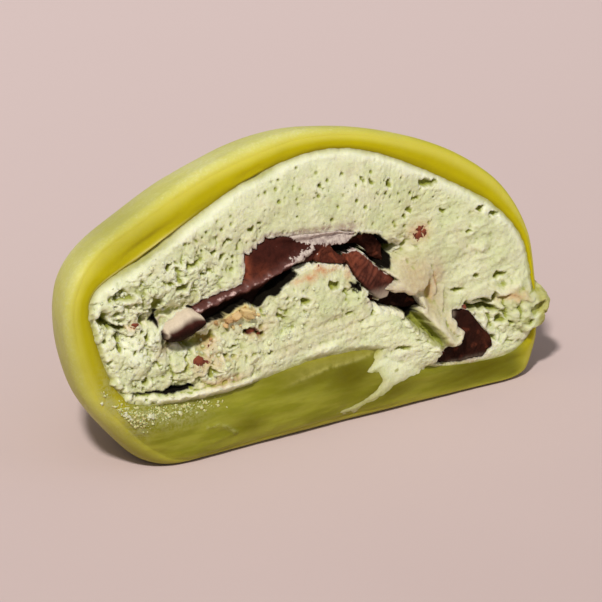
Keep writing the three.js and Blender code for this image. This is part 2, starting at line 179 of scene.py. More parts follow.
# Soft patches, from here on: across, up, reach across, reach up, and a strength or a height.

# On the broken chocolate.
PLATE_CRUMBLY = [(-0.4, 25, 1.3, 0.7, 1), (0.9, 25.6, 1.2, 0.6, 1), (1.9, 26, 0.8, 0.6, 0.8)]
PLATE_RED = [(-8.9, 25.4, 1, 2.2, 1), (-6.5, 24, 2, 1.4, 0.3), (4.6, 25.6, 1, 0.5, 0.6)]
WEDGE_SMEARED = [(24.2, 12, 0.5, 0.7, 0.25), (25, 4.8, 4.5, 0.3, 0.15)]
WEDGE_RED = [(29.4, 7.4, 1, 2.4, 0.5)]

# The skin: where its inner lip is drawn out, where a painted highlight runs along it, where the
# fold is deep in colour (thicker, with painted shade under the cream, the flap and at the lower
# right), where starch lies, and where the outside is darker as painted shade.
SKIN_LIP = [(-23, 31.6, 7, 3, 1), (-6, 37.6, 3, 2, 0.4)]
SKIN_LIP_HIGHLIGHT = [(-24, 31.6, 7, 3, 1), (-31, 29, 4, 4, 0.8)]
SKIN_DEEP_AND_SHADED = [
    (0, 8.4, 9, 1.8, 0.8), (5, 7.6, 5, 3, 1), (28, 3, 9, 2.4, 1), (12, 3.6, 6, 1.6, 0.8),
    (-12.5, 4, 2.4, 1.4, 0.7),
]
SKIN_STARCH = [
    (-28.5, 8.6, 4, 1.8, 1), (-23.5, 7.6, 5, 1.6, 0.85), (-33.5, 11.5, 1.3, 4, 0.9), (-30, 6.8, 2, 2, 0.8),
]
SKIN_LEFT_SHADE = [(-38, 18, 5, 11, 0.85), (-26, 33, 9, 4, 0.6)]
# Lines on the fold: a crease with starch in it, and the edge of a thin film of skin.
CREASE = [(-19.35, 5.0), (-17.6, 5.0), (-16.35, 4.5), (-14.85, 3.2)]
FILM = [(-8, 7.4), (-3, 8.1), (0.7, 8.6), (3.7, 8.8), (6.9, 8.9), (10.7, 9.3)]

# Soft rises and hollows of the cut cream.
CREAM_RELIEF = [
    (-28, 25, 4, 3, 1.1), (-21, 26, 5, 3, 0.7), (-27, 17, 4, 3, 0.9), (-14, 32, 9, 3, 0.5),
    (-16, 12, 8, 2.5, 0.8), (4, 33, 14, 4, 0.5), (2, 19, 7, 5, 1), (14, 12, 9, 4, 1.2), (20, 22, 4, 4, 0.8),
    (31, 24, 6, 6, 0.4), (36, 10.5, 3, 3, 1.6), (20, 8.5, 5, 3, 1.3), (-24, 21.5, 4, 0.9, -1.2),
    (-22, 11.2, 5, 0.8, -0.4), (16.5, 23, 2.5, 1.5, -1.6), (-20.3, 17.2, 4, 1.2, -1.0),
    (-20.4, 21.6, 3, 0.8, -0.5), (21, 12, 2.5, 3, -0.4), (29.5, 12.5, 5, 1, -0.6), (39, 16, 2, 2, -0.3),
    (-21, 16.2, 3, 1, -0.8), (20.2, 16, 0.8, 1.9, -0.7), (16.5, 20.8, 3, 0.9, -0.4),
]
# Where the cream is torn, dragged, streaked and porous.
TORN = [
    (-28, 22, 7, 7, 1), (-19, 25, 8, 4, 0.8), (-21, 14, 13, 4.5, 0.85), (-5, 18, 7, 4, 0.5),
    (34, 10, 6, 4, 0.9), (23, 8, 4, 3, 0.6), (9, 17, 5, 4, 0.45), (-14, 29, 9, 3, 0.45),
    (16, 23, 4, 2.5, 0.6),
]
DRAGGED = [(30, 20, 10, 8, 1), (19, 28, 8, 5, 0.45), (35, 15, 5, 4, 0.8)]
STREAKED = [(2, 13, 15, 3, 1), (14, 9, 8, 3, 0.6), (-15, 9.8, 9, 1, 0.8)]
POROUS = [(4, 32, 20, 5, 0.8), (-14, 29, 9, 4, 1), (19, 30, 9, 5, 0.7), (-6, 33, 9, 3, 0.5)]
# A groove between the cream and the skin, painted a greener shade.
GROOVE = [(-25, 30.4, 7, 2.4, 1), (-5, 37.6, 3, 1, 0.8), (33, 26.4, 5, 2, 0.35), (-34, 20, 2, 6, 0.5)]
# Hollows in the crag, painted a greener shade: the last number is the depth.
CRAG_HOLLOWS = [(38.2, 10.4, 1.7, 0.7, 1.7), (36.2, 9.1, 0.9, 0.6, 1.2), (39.6, 9, 0.5, 0.5, 0.8)]
# Cream crumbs and starch powder dusted over the skin below.
DUST = [
    (-31.6, 9.4, 1.8, 1.1, 1.05), (-27.6, 8.7, 2.6, 0.8, 0.95), (-23, 8.1, 3.4, 0.6, 0.8),
    (-34.4, 11.6, 0.6, 1.4, 0.6), (-29.8, 7.6, 2, 0.8, 0.65), (-18.4, 7.8, 2, 0.4, 0.5),
]
# Colours laid into the cream; brown specks are melted chocolate, mauve is cream greyed by it.
WHITE = [
    (-28.5, 17.5, 3.5, 2.5, 0.8), (-31, 24.6, 2, 1.4, 0.5), (-25.4, 18.8, 1.6, 1.3, 0.8),
    (-22, 27.6, 5, 1.6, 0.5), (8, 34, 9, 3, 0.35), (15, 8, 6, 1.8, 0.6), (-6, 33.5, 6, 2, 0.3),
    (2, 11.6, 8, 0.9, 0.5), (-13, 24, 4, 2, 0.35), (34, 8, 3, 2, 0.35),
]
BEIGE = [
    (18, 19, 4.4, 3.2, 1), (20.6, 15, 2.6, 4.4, 0.9), (22.8, 11, 1.8, 2.6, 0.75), (17, 24.5, 3, 2.4, 0.4),
    (20, 29, 3, 3, 0.2), (-20, 13, 5, 1.8, 0.3), (-15, 10.6, 3.6, 0.8, 1), (5, 15.5, 6, 1.2, 0.25),
    (-4, 33, 5, 1.5, 0.15), (35, 13, 3, 0.9, 0.6), (-26, 21.5, 2, 0.8, 0.4), (-17, 15, 3, 1.4, 0.3),
    (24, 21, 4, 2, 0.15), (-5.4, 18, 2, 1.2, 0.3), (22.4, 18.6, 1.2, 3, 0.8), (15.5, 21.4, 1.6, 1, 0.7),
    (-3.4, 12.6, 3.4, 0.8, 0.45), (-24, 16.4, 2.4, 0.9, 0.35), (21.8, 17.6, 0.5, 2.2, 1),
    (20, 25.6, 2.4, 2.4, 0.35),
]
# Orange-brown stains. Two patches are painted shadow: under the curl at (-20.4, 17) and right of the lip at
# (20.3, 16.4).
ORANGE_AND_SHADOW = [
    (-1, 22, 1.2, 0.5, 0.7), (0.8, 22.3, 1.4, 0.6, 1), (2.8, 22.7, 1.6, 0.6, 1), (4.7, 22.6, 1.4, 0.5, 0.8),
    (-16.5, 16.2, 1.4, 1.3, 0.5), (-15, 18.6, 1.6, 0.9, 0.5), (-13.6, 13.2, 3, 0.8, 0.2),
    (20.4, 24.9, 1.5, 1.1, 0.9), (7.2, 21.6, 0.6, 1.2, 0.7), (-17.2, 13.8, 2.4, 1.2, 0.5),
    (-15.6, 10.7, 2.8, 0.6, 0.4), (-20.4, 17, 2.6, 0.7, 0.45), (-28.2, 21.2, 1.2, 0.4, 0.8),
    (34.6, 12.6, 2, 0.6, 0.6), (21.7, 18, 0.4, 1.2, 0.6), (-8.8, 15.9, 2, 0.9, 0.4),
    (20.3, 16.4, 0.6, 1.7, 0.55),
]
BROWN = [
    (-18.7, 14.1, 1.1, 0.6, 1), (-17.9, 13.6, 0.7, 0.4, 0.9), (20.3, 25.4, 1, 0.5, 0.9),
    (19.8, 24.4, 0.9, 0.6, 0.9), (20.9, 24.6, 0.5, 0.4, 0.9), (-9.3, 16.3, 0.9, 0.4, 1),
    (-8.2, 15.6, 0.6, 0.35, 0.9), (-28.2, 21.2, 0.8, 0.25, 0.7), (26.2, 12.4, 0.9, 0.3, 0.8),
    (-16.5, 16, 0.3, 0.5, 0.6), (0.4, 22.4, 0.35, 0.25, 0.5), (21.5, 18.3, 0.2, 0.5, 0.6),
    (-16, 15.2, 0.3, 0.25, 0.6), (35.4, 12.7, 0.6, 0.2, 0.5),
]
MAUVE = [
    (-2.6, 28.9, 1.6, 0.5, 0.8), (0.4, 28.6, 2.4, 0.6, 1), (4, 28.3, 2.6, 0.6, 1),
    (10.8, 17, 1.5, 0.6, 0.7), (12.6, 17.5, 1.4, 0.5, 0.9), (14.5, 18, 2, 0.5, 0.6),
    (-23.8, 16.6, 1.4, 0.6, 0.4), (25.4, 9.6, 0.9, 1.6, 0.7), (25.6, 4.6, 4.6, 0.45, 1),
    (-8.6, 15.9, 1.4, 0.7, 0.5), (8.2, 27.8, 2.6, 0.7, 0.9), (-13, 22.9, 4, 0.35, 0.6),
    (-23.4, 20.6, 1.4, 0.25, 0.8),
]

# Single holes, ringed by a greener painted shade: across, up, reach across, reach up, depth, and
# the darkness of the painted shade at the bottom.
HOLES = [
    (-32.4, 22.6, 0.9, 1.2, 1.4, 0.2), (-29.4, 25.6, 1.8, 0.7, 1.1, 0), (-24.1, 23.3, 1.4, 1.1, 1.3, 0.1),
    (-19.6, 25, 1.2, 0.7, 1.2, 0), (-17.6, 27.6, 1.3, 0.4, 0.9, 0), (-21.3, 28.1, 0.6, 0.5, 0.9, 0),
    (-15.9, 26, 0.6, 0.4, 0.8, 0), (-14, 28.6, 0.4, 0.35, 0.7, 0), (-11.4, 29.7, 0.6, 0.35, 0.8, 0),
    (-12.6, 27.6, 0.8, 0.35, 0.7, 0), (-7.6, 30.7, 0.4, 0.35, 0.7, 0), (-6.2, 31.2, 0.5, 0.3, 0.6, 0),
    (-14.2, 14, 0.6, 0.4, 0.9, 0.1), (-12.9, 15.2, 0.7, 0.3, 0.6, 0), (-17, 12, 1.3, 0.4, 0.8, 0),
    (-27.5, 13, 0.6, 0.4, 0.9, 0.3), (-7.2, 13, 0.5, 0.35, 0.6, 0), (-0.5, 18.9, 0.9, 0.7, 1, 0.1),
    (4.3, 20.3, 1, 0.6, 0.9, 0.05), (-4.4, 17.6, 0.9, 0.35, 0.5, 0), (15.6, 23.1, 1.2, 0.7, 2.2, 0.6),
    (33, 16, 1.1, 0.45, 0.9, 0), (25.4, 15.4, 1.2, 0.3, 0.7, 0), (31.8, 13.2, 0.7, 0.6, 1.2, 0.2),
    (28.9, 16.9, 0.5, 0.3, 0.5, 0), (16.4, 32.6, 0.5, 0.55, 0.9, 0.1), (15.2, 31.1, 0.35, 0.35, 0.6, 0),
    (13.4, 33.6, 0.4, 0.3, 0.6, 0), (11.8, 34.4, 0.45, 0.25, 0.6, 0), (4.4, 34.4, 0.4, 0.3, 0.7, 0.1),
    (8.8, 35.5, 0.4, 0.25, 0.5, 0), (24.8, 27.1, 0.7, 0.3, 0.5, 0), (31.3, 26.4, 0.9, 0.3, 0.8, 0),
    (33.6, 25.1, 1.1, 0.3, 0.9, 0), (28.6, 23.5, 0.7, 0.25, 0.4, 0), (1.5, 37.6, 0.3, 0.2, 0.4, 0),
    (-2, 36.6, 0.35, 0.25, 0.4, 0), (32, 9.6, 0.8, 0.6, 1.1, 0.1), (30.6, 7.2, 0.6, 0.5, 0.9, 0.1),
    (6.4, 15.9, 0.6, 0.3, 0.5, 0), (10.4, 14.9, 0.5, 0.4, 0.7, 0), (-20, 17.1, 3, 0.7, 1.5, 0.3),
    (18.9, 28.4, 0.4, 0.4, 0.6, 0), (18.2, 27.5, 0.3, 0.35, 0.5, 0), (20.4, 29.8, 0.6, 0.3, 0.5, 0),
    (-26.4, 19.2, 0.5, 0.4, 0.7, 0), (-30.6, 18.4, 0.4, 0.5, 0.7, 0), (14.2, 9.2, 1.2, 0.35, 0.4, 0),
    (12.9, 6.2, 0.6, 0.25, 0.5, 0), (9.2, 6.4, 0.5, 0.35, 0.6, 0),
]
# Folds of cream with a steep edge, thick on the left of the line: points, height, width of the
# rounded edge, how far the fold fades out behind it, how beige, how white.
FOLDS = [
    ([(12, 17.4), (12.8, 18), (14.1, 17.7), (15.5, 17.3), (17, 16.9), (18.5, 16.9), (20, 17.4),
      (21.4, 18.4)], 1.9, 1.9, 2.2, 1.0, 0.1),
    ([(17.4, 15.4), (18, 14.1), (19.1, 12.5), (20.2, 10.9), (21.2, 9), (22.4, 7.9), (24, 7.9), (25.3, 9.1),
      (24.3, 10.1), (24, 11.2), (23.9, 12.8)], 1.3, 1.1, 2.0, 0.65, 0.35),
    ([(-9, 9.9), (-14, 10), (-18.6, 10.2), (-20.8, 10), (-25, 10.5), (-29.6, 11.1)], 0.7, 0.8, 1.3, 0.3,
      0.85),
    ([(15.2, 22.2), (16.9, 22.6), (17.6, 24.4), (15.8, 24.9)], 0.5, 0.6, 0.7, 0.1, 0.4),
    ([(27.4, 13.3), (31, 12.5), (34, 12.9), (37, 12.6)], 0.5, 0.7, 1.4, 0.3, 0.1),
    ([(21, 14.6), (21.7, 16.8), (21.5, 18.8), (20.6, 20.8)], 0.5, 0.8, 1, 0.9, 0.1),
    ([(22.2, 11.6), (22.4, 14), (23.4, 16.4)], 0.4, 0.7, 1, 0.6, 0.2),
]
# Open cracks and grooves, painted a greener shade along them: points, width, depth, darkness of the painted
# shade at the bottom.
CRACKS = [
    ([(26.7, 12.4), (28.6, 11.8), (30.2, 11.8), (31.6, 11.1)], 0.5, 1.8, 0.4),
    ([(28.6, 13.3), (30.2, 12.6), (32, 12.6)], 0.35, 1.2, 0.15),
    ([(-32.35, 22.2), (-31.2, 21.3), (-29.6, 21)], 0.4, 1.8, 0.4),
    ([(-10.2, 16.5), (-9.2, 16.2), (-8.8, 15.8), (-7.8, 15.5)], 0.45, 1.0, 0.5),
    ([(21.8, 31.9), (24.2, 31.4)], 0.4, 0.8, 0.05),
    ([(-20.4, 16.9), (-18.4, 16), (-15.8, 17.2)], 0.5, 1.0, 0.1),
]
# Open room in the cream, its edge painted a greener shade: outline, depth, darkness of the painted shade at
# the bottom.
OPENINGS = [
    ([(-8.6, 20.1), (-8, 19.4), (-7.2, 20.2), (-6.1, 20.9), (-5.2, 20.7), (-3.4, 21.8), (-1.1, 23),
      (-1.6, 23.8), (-4.1, 23.5), (-6.2, 22.4), (-7.6, 21)], 3.0, 1.0),
    ([(4.4, 25.6), (6, 24.2), (7.6, 24), (9.8, 24.2), (11.4, 24), (10.4, 26.6), (7.6, 25.8)], 3.2, 1.0),
    ([(10.8, 24.2), (12.8, 21), (14.4, 20.6), (15.6, 21.8), (15.4, 23.8), (13.6, 25.6), (11, 26.4)], 2.6,
      1.0),
    ([(7.1, 20.2), (8.2, 19.7), (8.9, 19.9), (9.2, 18.9), (8.4, 18.6), (7.9, 19.1)], 2.4, 1.0),
    ([(15.2, 14.5), (15.9, 13.1), (16.8, 11.8), (18, 10.9), (19.2, 9.4), (20.6, 8.3), (21.1, 7.6),
      (21.5, 8.8), (20.6, 10.4), (19.2, 12.2), (18.1, 13.8), (17.4, 15.1), (16, 14.9)], 2.3, 0.05),
    ([(14.4, 15), (15.6, 13.7), (16.6, 12.7), (17.8, 13), (17.9, 14.2), (17.3, 15.4), (15.8, 15.4)], 2.5,
      1.0),
    ([(-25.4, 21.1), (-24.8, 20.9), (-24.3, 20.2), (-23.9, 20.6), (-24, 21.5), (-23.5, 22.1), (-24.1, 22.3),
      (-24.6, 21.6)], 2.6, 1.0),
    ([(-17.4, 18.8), (-14.3, 19.25), (-11.8, 20.2), (-9.8, 20.6), (-8.9, 20.1), (-8.5, 20.4), (-9.7, 21.2),
      (-11.8, 20.8), (-14.3, 19.8)], 1.0, 1.0),
    ([(-23.9, 18.9), (-23.4, 17.9), (-23.5, 16.9), (-24, 16.9), (-24.1, 18)], 1.6, 0.7),
    ([(-30, 11.9), (-28, 11.5), (-26.5, 11.5), (-25.2, 11.2), (-23.7, 11.4), (-22, 11.1), (-20.4, 11.2),
      (-19.7, 10.8), (-21.4, 10.5), (-23, 10.6), (-24.6, 10.8), (-26.4, 11.1), (-28.4, 11.3)], 2.4, 1.0),
]
# The torn upper edge of the lower cream, and the frosted upper edge of the plate.
CREST = [
    (6.9, 19.4), (8.6, 18.6), (9.9, 18), (10.6, 17), (11.8, 15.8), (13.6, 15), (14.8, 14.1), (15.7, 12.8),
    (16.7, 11.5), (18, 10.5), (19.2, 9.1), (20.6, 7.9), (21, 6.8),
]
FROST = [
    (-9.5, 25.6), (-8.8, 27.2), (-7, 28), (-5.6, 28.9), (-4.2, 29.3), (-2.2, 29.2), (1, 28.8), (3.9, 28.4),
    (6, 27.9),
]
# The patch of pale nut crumb under the strip.
NUT_PATCH = [
    (-14.6, 19.3), (-12.6, 20.1), (-10.2, 20.7), (-8.9, 20), (-8.3, 19), (-9.6, 18.1), (-11, 18.3),
    (-12.4, 18.5), (-13.6, 18.4),
]
# Grains of nut: across, up, size, how brown. Flakes of chocolate: across, up, size.
NUTS = [
    (-13.6, 18.1, 0.5, 0.4), (-15, 18.7, 0.4, 0.5), (-16.2, 16.6, 0.35, 0.7), (-8.1, 18.4, 0.4, 0.1),
    (-12.4, 17.6, 0.4, 0), (-11.2, 17.6, 0.35, 0.2), (-10.1, 19.3, 1.15, 0.15), (-11.7, 18.9, 0.85, 0.35),
    (-13, 18.9, 0.7, 0.5), (-8.9, 18.7, 0.6, 0.25),
]
FLAKES = [
    (-18.9, 14.1, 0.66), (-18.1, 13.8, 0.45), (-27.9, 21.2, 0.5), (20, 24.5, 0.62), (20.9, 24.9, 0.5),
    (20.3, 25.5, 0.45), (-9.4, 16.2, 0.6), (-8.2, 15.6, 0.5), (26.4, 12.3, 0.45), (2.6, 23.5, 0.26),
]

CAMERA_AT = (-275.6, -437.9, 219.5)  # half a metre off, to the left and above
CAMERA_AIM = (-1.6, -11.9, 17.7)
CAMERA_LENS = 229.6
# Lamps in metres: name, place, power, size, colour.
LAMPS = [
    ("key", (-2.2, -2.0, 4.1), 235, 0.5, (1, 0.98, 0.94)),
    ("fill", (1.4, -1.3, 0.8), 3, 1.2, (0.96, 0.98, 1)),
]
LAMP_AIM = (0, 0, 0.02)
AIR_COLOUR, AIR_STRENGTH = (0.93, 0.92, 0.95, 1), 0.3
FLOOR_REACH = 4.0

rng = np.random.default_rng(20)


# ------------ curves and noise

def loop(points, count=1440):
    """A closed smooth curve through the points: uniform Catmull-Rom cubics, evenly sampled."""
    p = np.array(points, float)
    t = np.arange(count) * len(p) / count
    i = np.floor(t).astype(int)
    u = (t - i)[:, None]
    a, b, c, d = (p[(i + j) % len(p)] for j in (-1, 0, 1, 2))
    return b + 0.5 * u * (c - a + u * (2 * a - 5 * b + 4 * c - d + u * (3 * (b - c) + d - a)))


def radius_at(points, angle):
    """Distance from the face centre to a smooth closed outline in each direction."""
    away = loop(points) - FACE_CENTRE
    turn = np.arctan2(away[:, 1], away[:, 0])
    order = np.argsort(turn)
    return np.interp(angle, turn[order], np.hypot(*away.T)[order], period=2 * math.pi)


def along(points, share):
    """Points at the given shares of an open line's length."""
    p = np.array(points, float)
    walked = np.concatenate([[0], np.cumsum(np.hypot(*np.diff(p, axis=0).T))])
    return np.stack([np.interp(share * walked[-1], walked, p[:, k]) for k in (0, 1)], -1)


def line_distance(x, y, a, b):
    """Distance from points to the straight stretch from a to b."""
    dx, dy = b[0] - a[0], b[1] - a[1]
    t = np.clip(((x - a[0]) * dx + (y - a[1]) * dy) / max(dx * dx + dy * dy, 1e-9), 0, 1)
    return np.hypot(x - a[0] - t * dx, y - a[1] - t * dy)


def inside(x, y, outline):
    """Signed distance to a closed outline, positive inside: the least distance to any of its
    sides, its sign from how often a line to the right crosses them."""
    p = np.array(outline, float)
    near = np.full(x.shape, 1e9)
    odd = np.zeros(x.shape, bool)
    for (ax, ay), (bx, by) in zip(p, np.roll(p, -1, axis=0)):
        near = np.minimum(near, line_distance(x, y, (ax, ay), (bx, by)))
        if ay != by:
            odd ^= ((ay > y) != (by > y)) & (x < ax + (y - ay) * (bx - ax) / (by - ay))
    return np.where(odd, near, -near)


def open_line(x, y, points):
    """Distance to a line through the points."""
    return np.min([line_distance(x, y, a, b) for a, b in zip(points, points[1:])], axis=0)


def beside(x, y, points):
    """Signed distance to a line through the points, positive on its left, and the share of the
    way along it at which it comes nearest."""
    p = np.array(points, float)
    long = np.hypot(*np.diff(p, axis=0).T)
    started = np.concatenate([[0], np.cumsum(long)])
    near, share = np.full(x.shape, 1e9), np.zeros(x.shape)
    for k in range(len(long)):
        dx, dy = (p[k + 1] - p[k]) / long[k]
        t = np.clip((x - p[k, 0]) * dx + (y - p[k, 1]) * dy, 0, long[k])
        off_x, off_y = x - p[k, 0] - t * dx, y - p[k, 1] - t * dy
        far = np.hypot(off_x, off_y)
        closer = far < np.abs(near)
        near = np.where(closer, np.where(dx * off_y - dy * off_x < 0, -far, far), near)
        share = np.where(closer, (started[k] + t) / started[-1], share)
    return near, share


def noise(points, seed):
    """Gradient noise of about -1 to 1 in two or three dimensions: random slopes on a unit
    grid that repeats, blended between the corners by 6t^5 - 15t^4 + 10t^3."""
    points = np.asarray(points, float)
    dims = points.shape[-1]
    size = 64 if dims == 2 else 24
    slopes = np.random.default_rng(seed).normal(size=(size,) * dims + (dims,))
    slopes /= np.linalg.norm(slopes, axis=-1, keepdims=True)
    corner = np.floor(points).astype(int)
    part = points - corner
    ease = part ** 3 * (part * (part * 6 - 15) + 10)
    total = np.zeros(points.shape[:-1])
    for bits in np.ndindex(*(2,) * dims):
        ahead = np.array(bits)
        slope = slopes[tuple(np.moveaxis((corner + ahead) % size, -1, 0))]
        weight = np.prod(np.where(ahead, ease, 1 - ease), axis=-1)
        total += weight * np.sum(slope * (part - ahead), axis=-1)
    return total * 1.5


def ripple(x, y, length, seed, height=None):
    """Noise on the cut face whose humps are about length wide and, if given, height tall. Each
    call has its own seed, as do creases, pits and domes."""
    return noise(np.stack([x / length, y / (height or length)], -1), seed)


def creases(x, y, length, seed, height=None):
    """The size of a ripple: rounded humps with sharp valleys between them."""
    return np.abs(ripple(x, y, length, seed, height))


def turned(x, y, degrees):
    """Coordinates turned so that the first runs along the given slope."""
    c, s = np.cos(np.radians(degrees)), np.sin(np.radians(degrees))
    return x * c + y * s, y * c - x * s


def bell(value, width):
    """1 at 0, falling off to both sides: exp(-(value / width)^2)."""
    return np.exp(-((value / width) ** 2))


def hump(x, y, spot):
    """A bell about a place, with its own reach across and up."""
    px, py, reach_x, reach_y = spot
    return np.exp(-((x - px) / reach_x) ** 2 - ((y - py) / reach_y) ** 2)


def oval(x, y, spot):
    """Distance from a place, 1 at its reach across and up."""
    px, py, reach_x, reach_y = spot
    return np.hypot((x - px) / reach_x, (y - py) / reach_y)


def patches(x, y, table):
    """Soft oval patches, the strongest one at each point: strength times the hump."""
    found = np.zeros(x.shape)
    for *spot, strength in table:
        found = np.maximum(found, strength * hump(x, y, spot))
    return found


def dots_round(x, y, spacing, places):
    """For each of the nine squares round a point: which one it is, and the squared distance to
    the dot in it."""
    column, row = np.floor(x / spacing).astype(int), np.floor(y / spacing).astype(int)
    for i, j in np.ndindex(3, 3):
        which = ((column + i - 1) % DOTS, (row + j - 1) % DOTS)
        px = (column + i - 1 + places[which][..., 0]) * spacing
        py = (row + j - 1 + places[which][..., 1]) * spacing
        yield which, (x - px) ** 2 + (y - py) ** 2


def pits(x, y, spacing, share, radius, seed):
    """Round pits, at most one to a square of the spacing, 1 deep in the middle, 0 at the rim."""
    draw = np.random.default_rng(seed)
    places = draw.uniform(0.1, 0.9, (DOTS, DOTS, 2))
    wide = draw.uniform(0.45, 1, (DOTS, DOTS)) * (draw.random((DOTS, DOTS)) < share)
    deep = np.zeros(x.shape)
    for which, far in dots_round(x, y, spacing, places):
        deep = np.maximum(deep, 1 - far / np.maximum(wide[which] * radius, 1e-6) ** 2)
    return deep


def domes(x, y, spacing, seed, reach=0.95, level=0.5):
    """The tallest of many round lumps, one to a square of the spacing: each stands at a random
    place and level, and falls off as a circle does."""
    draw = np.random.default_rng(seed)
    places = draw.uniform(0.05, 0.95, (DOTS, DOTS, 2))
    wide = draw.uniform(0.55, 1, (DOTS, DOTS)) * reach * spacing
    stand = draw.uniform(-level, 0, (DOTS, DOTS))
    tall = np.full(x.shape, -level)
    for which, far in dots_round(x, y, spacing, places):
        fall = 1 - far / wide[which] ** 2
        lump = stand[which] + np.sqrt(np.maximum(fall, 0)) * wide[which] / spacing
        tall = np.maximum(tall, lump - (fall < 0) * 9)
    return np.maximum(tall, -level)


def step(value, low, high):
    """Smooth step from 0 at low to 1 at high, either way round."""
    t = np.clip((value - low) / (high - low), 0, 1)
    return t * t * (3 - 2 * t)


def round_off(value, width):
    """A quarter circle: 0 at 0 and below, 1 from the width on."""
    return np.sqrt(np.maximum(1 - (1 - np.clip(value / width, 0, 1)) ** 2, 0))


def soft_least(a, b, width):
    """The lesser of two, rounded where they differ by less than the width."""
    h = np.maximum(width - np.abs(a - b), 0) / width
    return np.minimum(a, b) - h * h * width / 4


# ------------ places

def on_face(across, up, back):
    """Face coordinates and a distance behind the face, as points of the frame in metres."""
    across, up, back = np.broadcast_arrays(across, up, back)
    return MM * np.stack([
        across - BASE_MIDDLE[0],
        up * math.sin(LEAN) + back - BASE_MIDDLE[1],
        up * math.cos(LEAN),
    ], -1)


def section(back, body):
    """Size of a body's section behind the cut: an ellipse whose middle is ahead of the cut."""
    full = body["depth"] + WIDEST_AHEAD
    here = 1 - ((np.maximum(back, 0) + WIDEST_AHEAD) / full) ** 2
    return np.sqrt(np.maximum(here, 0) / (1 - (WIDEST_AHEAD / full) ** 2))


def tapered(across, up, back, body):
    """Points of a body that shrinks from the face to its rear pole."""
    scale = section(back, body)
    x, y = body["pole"]
    return on_face(x + (across - x) * scale, y + (up - y) * scale, back)


def on_ray(angle, radius):
    """The place on the face at a distance from its centre in each direction."""
    return FACE_CENTRE[0] + radius * np.cos(angle), FACE_CENTRE[1] + radius * np.sin(angle)


def swell(back, angle):
    """How far the skin has swollen behind the cut, most at the lower left."""
    away = np.mod(angle - FLANK["angle"] + math.pi, 2 * math.pi) - math.pi
    flank = FLANK["height"] * bell(away, FLANK["spread"])
    plain = SWELL["height"] * (1 - np.exp(-back / SWELL["reach"]))
    return plain + flank * (1 - np.exp(-back / FLANK["reach"]))


# ------------ meshes

def make_piece(name, points, faces, slot, look, replaces=None, **attributes):
    """A smooth mesh piece with its look and its own point attributes, faces outwards (turned
    where the volume comes out below 0), riding on the root."""
    mesh = bpy.data.meshes.new(name)
    volume = 0.0
    for block in faces:
        for k in range(1, block.shape[1] - 1):
            a, b, c = points[block[:, 0]], points[block[:, k]], points[block[:, k + 1]]
            volume += np.sum(a * np.cross(b, c))
    if volume < 0:
        faces = [block[:, ::-1] for block in faces]
    mesh.from_pydata(points.tolist(), [], [row for block in faces for row in block.tolist()])
    for key, values in attributes.items():
        layer = mesh.attributes.new(key, "FLOAT", "POINT")
        layer.data.foreach_set("value", np.broadcast_to(values, len(points)).astype(np.float32))
    mesh.shade_smooth()
    piece = bpy.data.objects.new(name, mesh)
    bpy.context.scene.collection.objects.link(piece)
    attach(piece, "root")
    if replaces:
        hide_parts(replaces)
    mesh.materials.append(look)


def padded(masks, shape, count):
    """Masks over a grid of points as plain rows, with 0 for the points that follow the grid."""
    rest = np.zeros(count - math.prod(shape))
    return {k: np.concatenate([np.broadcast_to(m, shape).ravel(), rest]) for k, m in masks.items()}


def ring_faces(rows, sides, first=0):
    """Quads between rows of equal length, each row closed on itself."""
    row, i = np.meshgrid(np.arange(rows - 1), np.arange(sides), indexing="ij")
    j = (i + 1) % sides
    corners = [row * sides + i, row * sides + j, (row + 1) * sides + j, (row + 1) * sides + i]
    return np.stack(corners, -1).reshape(-1, 4) + first


def fan_faces(ring, pole, flip=False):
    """Triangles from a ring of points to one pole."""
    after = np.roll(ring, -1)
    sides = [after, ring] if flip else [ring, after]
    return np.stack([*sides, np.full(len(ring), pole)], -1)


def shut_rings(rows, sides):
    """Faces of rings of points that end in two poles, the first and last point after them."""
    ring = np.arange(sides)
    return [
        ring_faces(rows, sides),
        fan_faces(ring, rows * sides, flip=True),
        fan_faces(ring + (rows - 1) * sides, rows * sides + 1),
    ]


def closed_rings(rings, first_pole, last_pole):
    """A closed surface from rings of points, shut by a pole at each end."""
    points = np.concatenate([rings.reshape(-1, 3), [first_pole], [last_pole]])
    return points, shut_rings(*rings.shape[:2])


# ------------ the rice skin

def grounded(radius, angle, back):
    """Radius held above the resting plane, rounded where the flank turns under."""
    scale = section(back, SKIN_BODY)
    pole_up = SKIN_BODY["pole"][1]
    lowest = pole_up - pole_up / np.maximum(scale, 1e-6) - FACE_CENTRE[1]
    room = np.where(np.sin(angle) < -0.05, lowest / np.minimum(np.sin(angle), -0.05), 1e3)
    return soft_least(radius, room, FOOT_ROUND)


def fold_share(x, y):
    """1 on the thick fold under the cream and 0 on the thin wall round the rest."""
    return step(y, 13, 9) * step(x, -34, -29) * step(x, 39, 33)


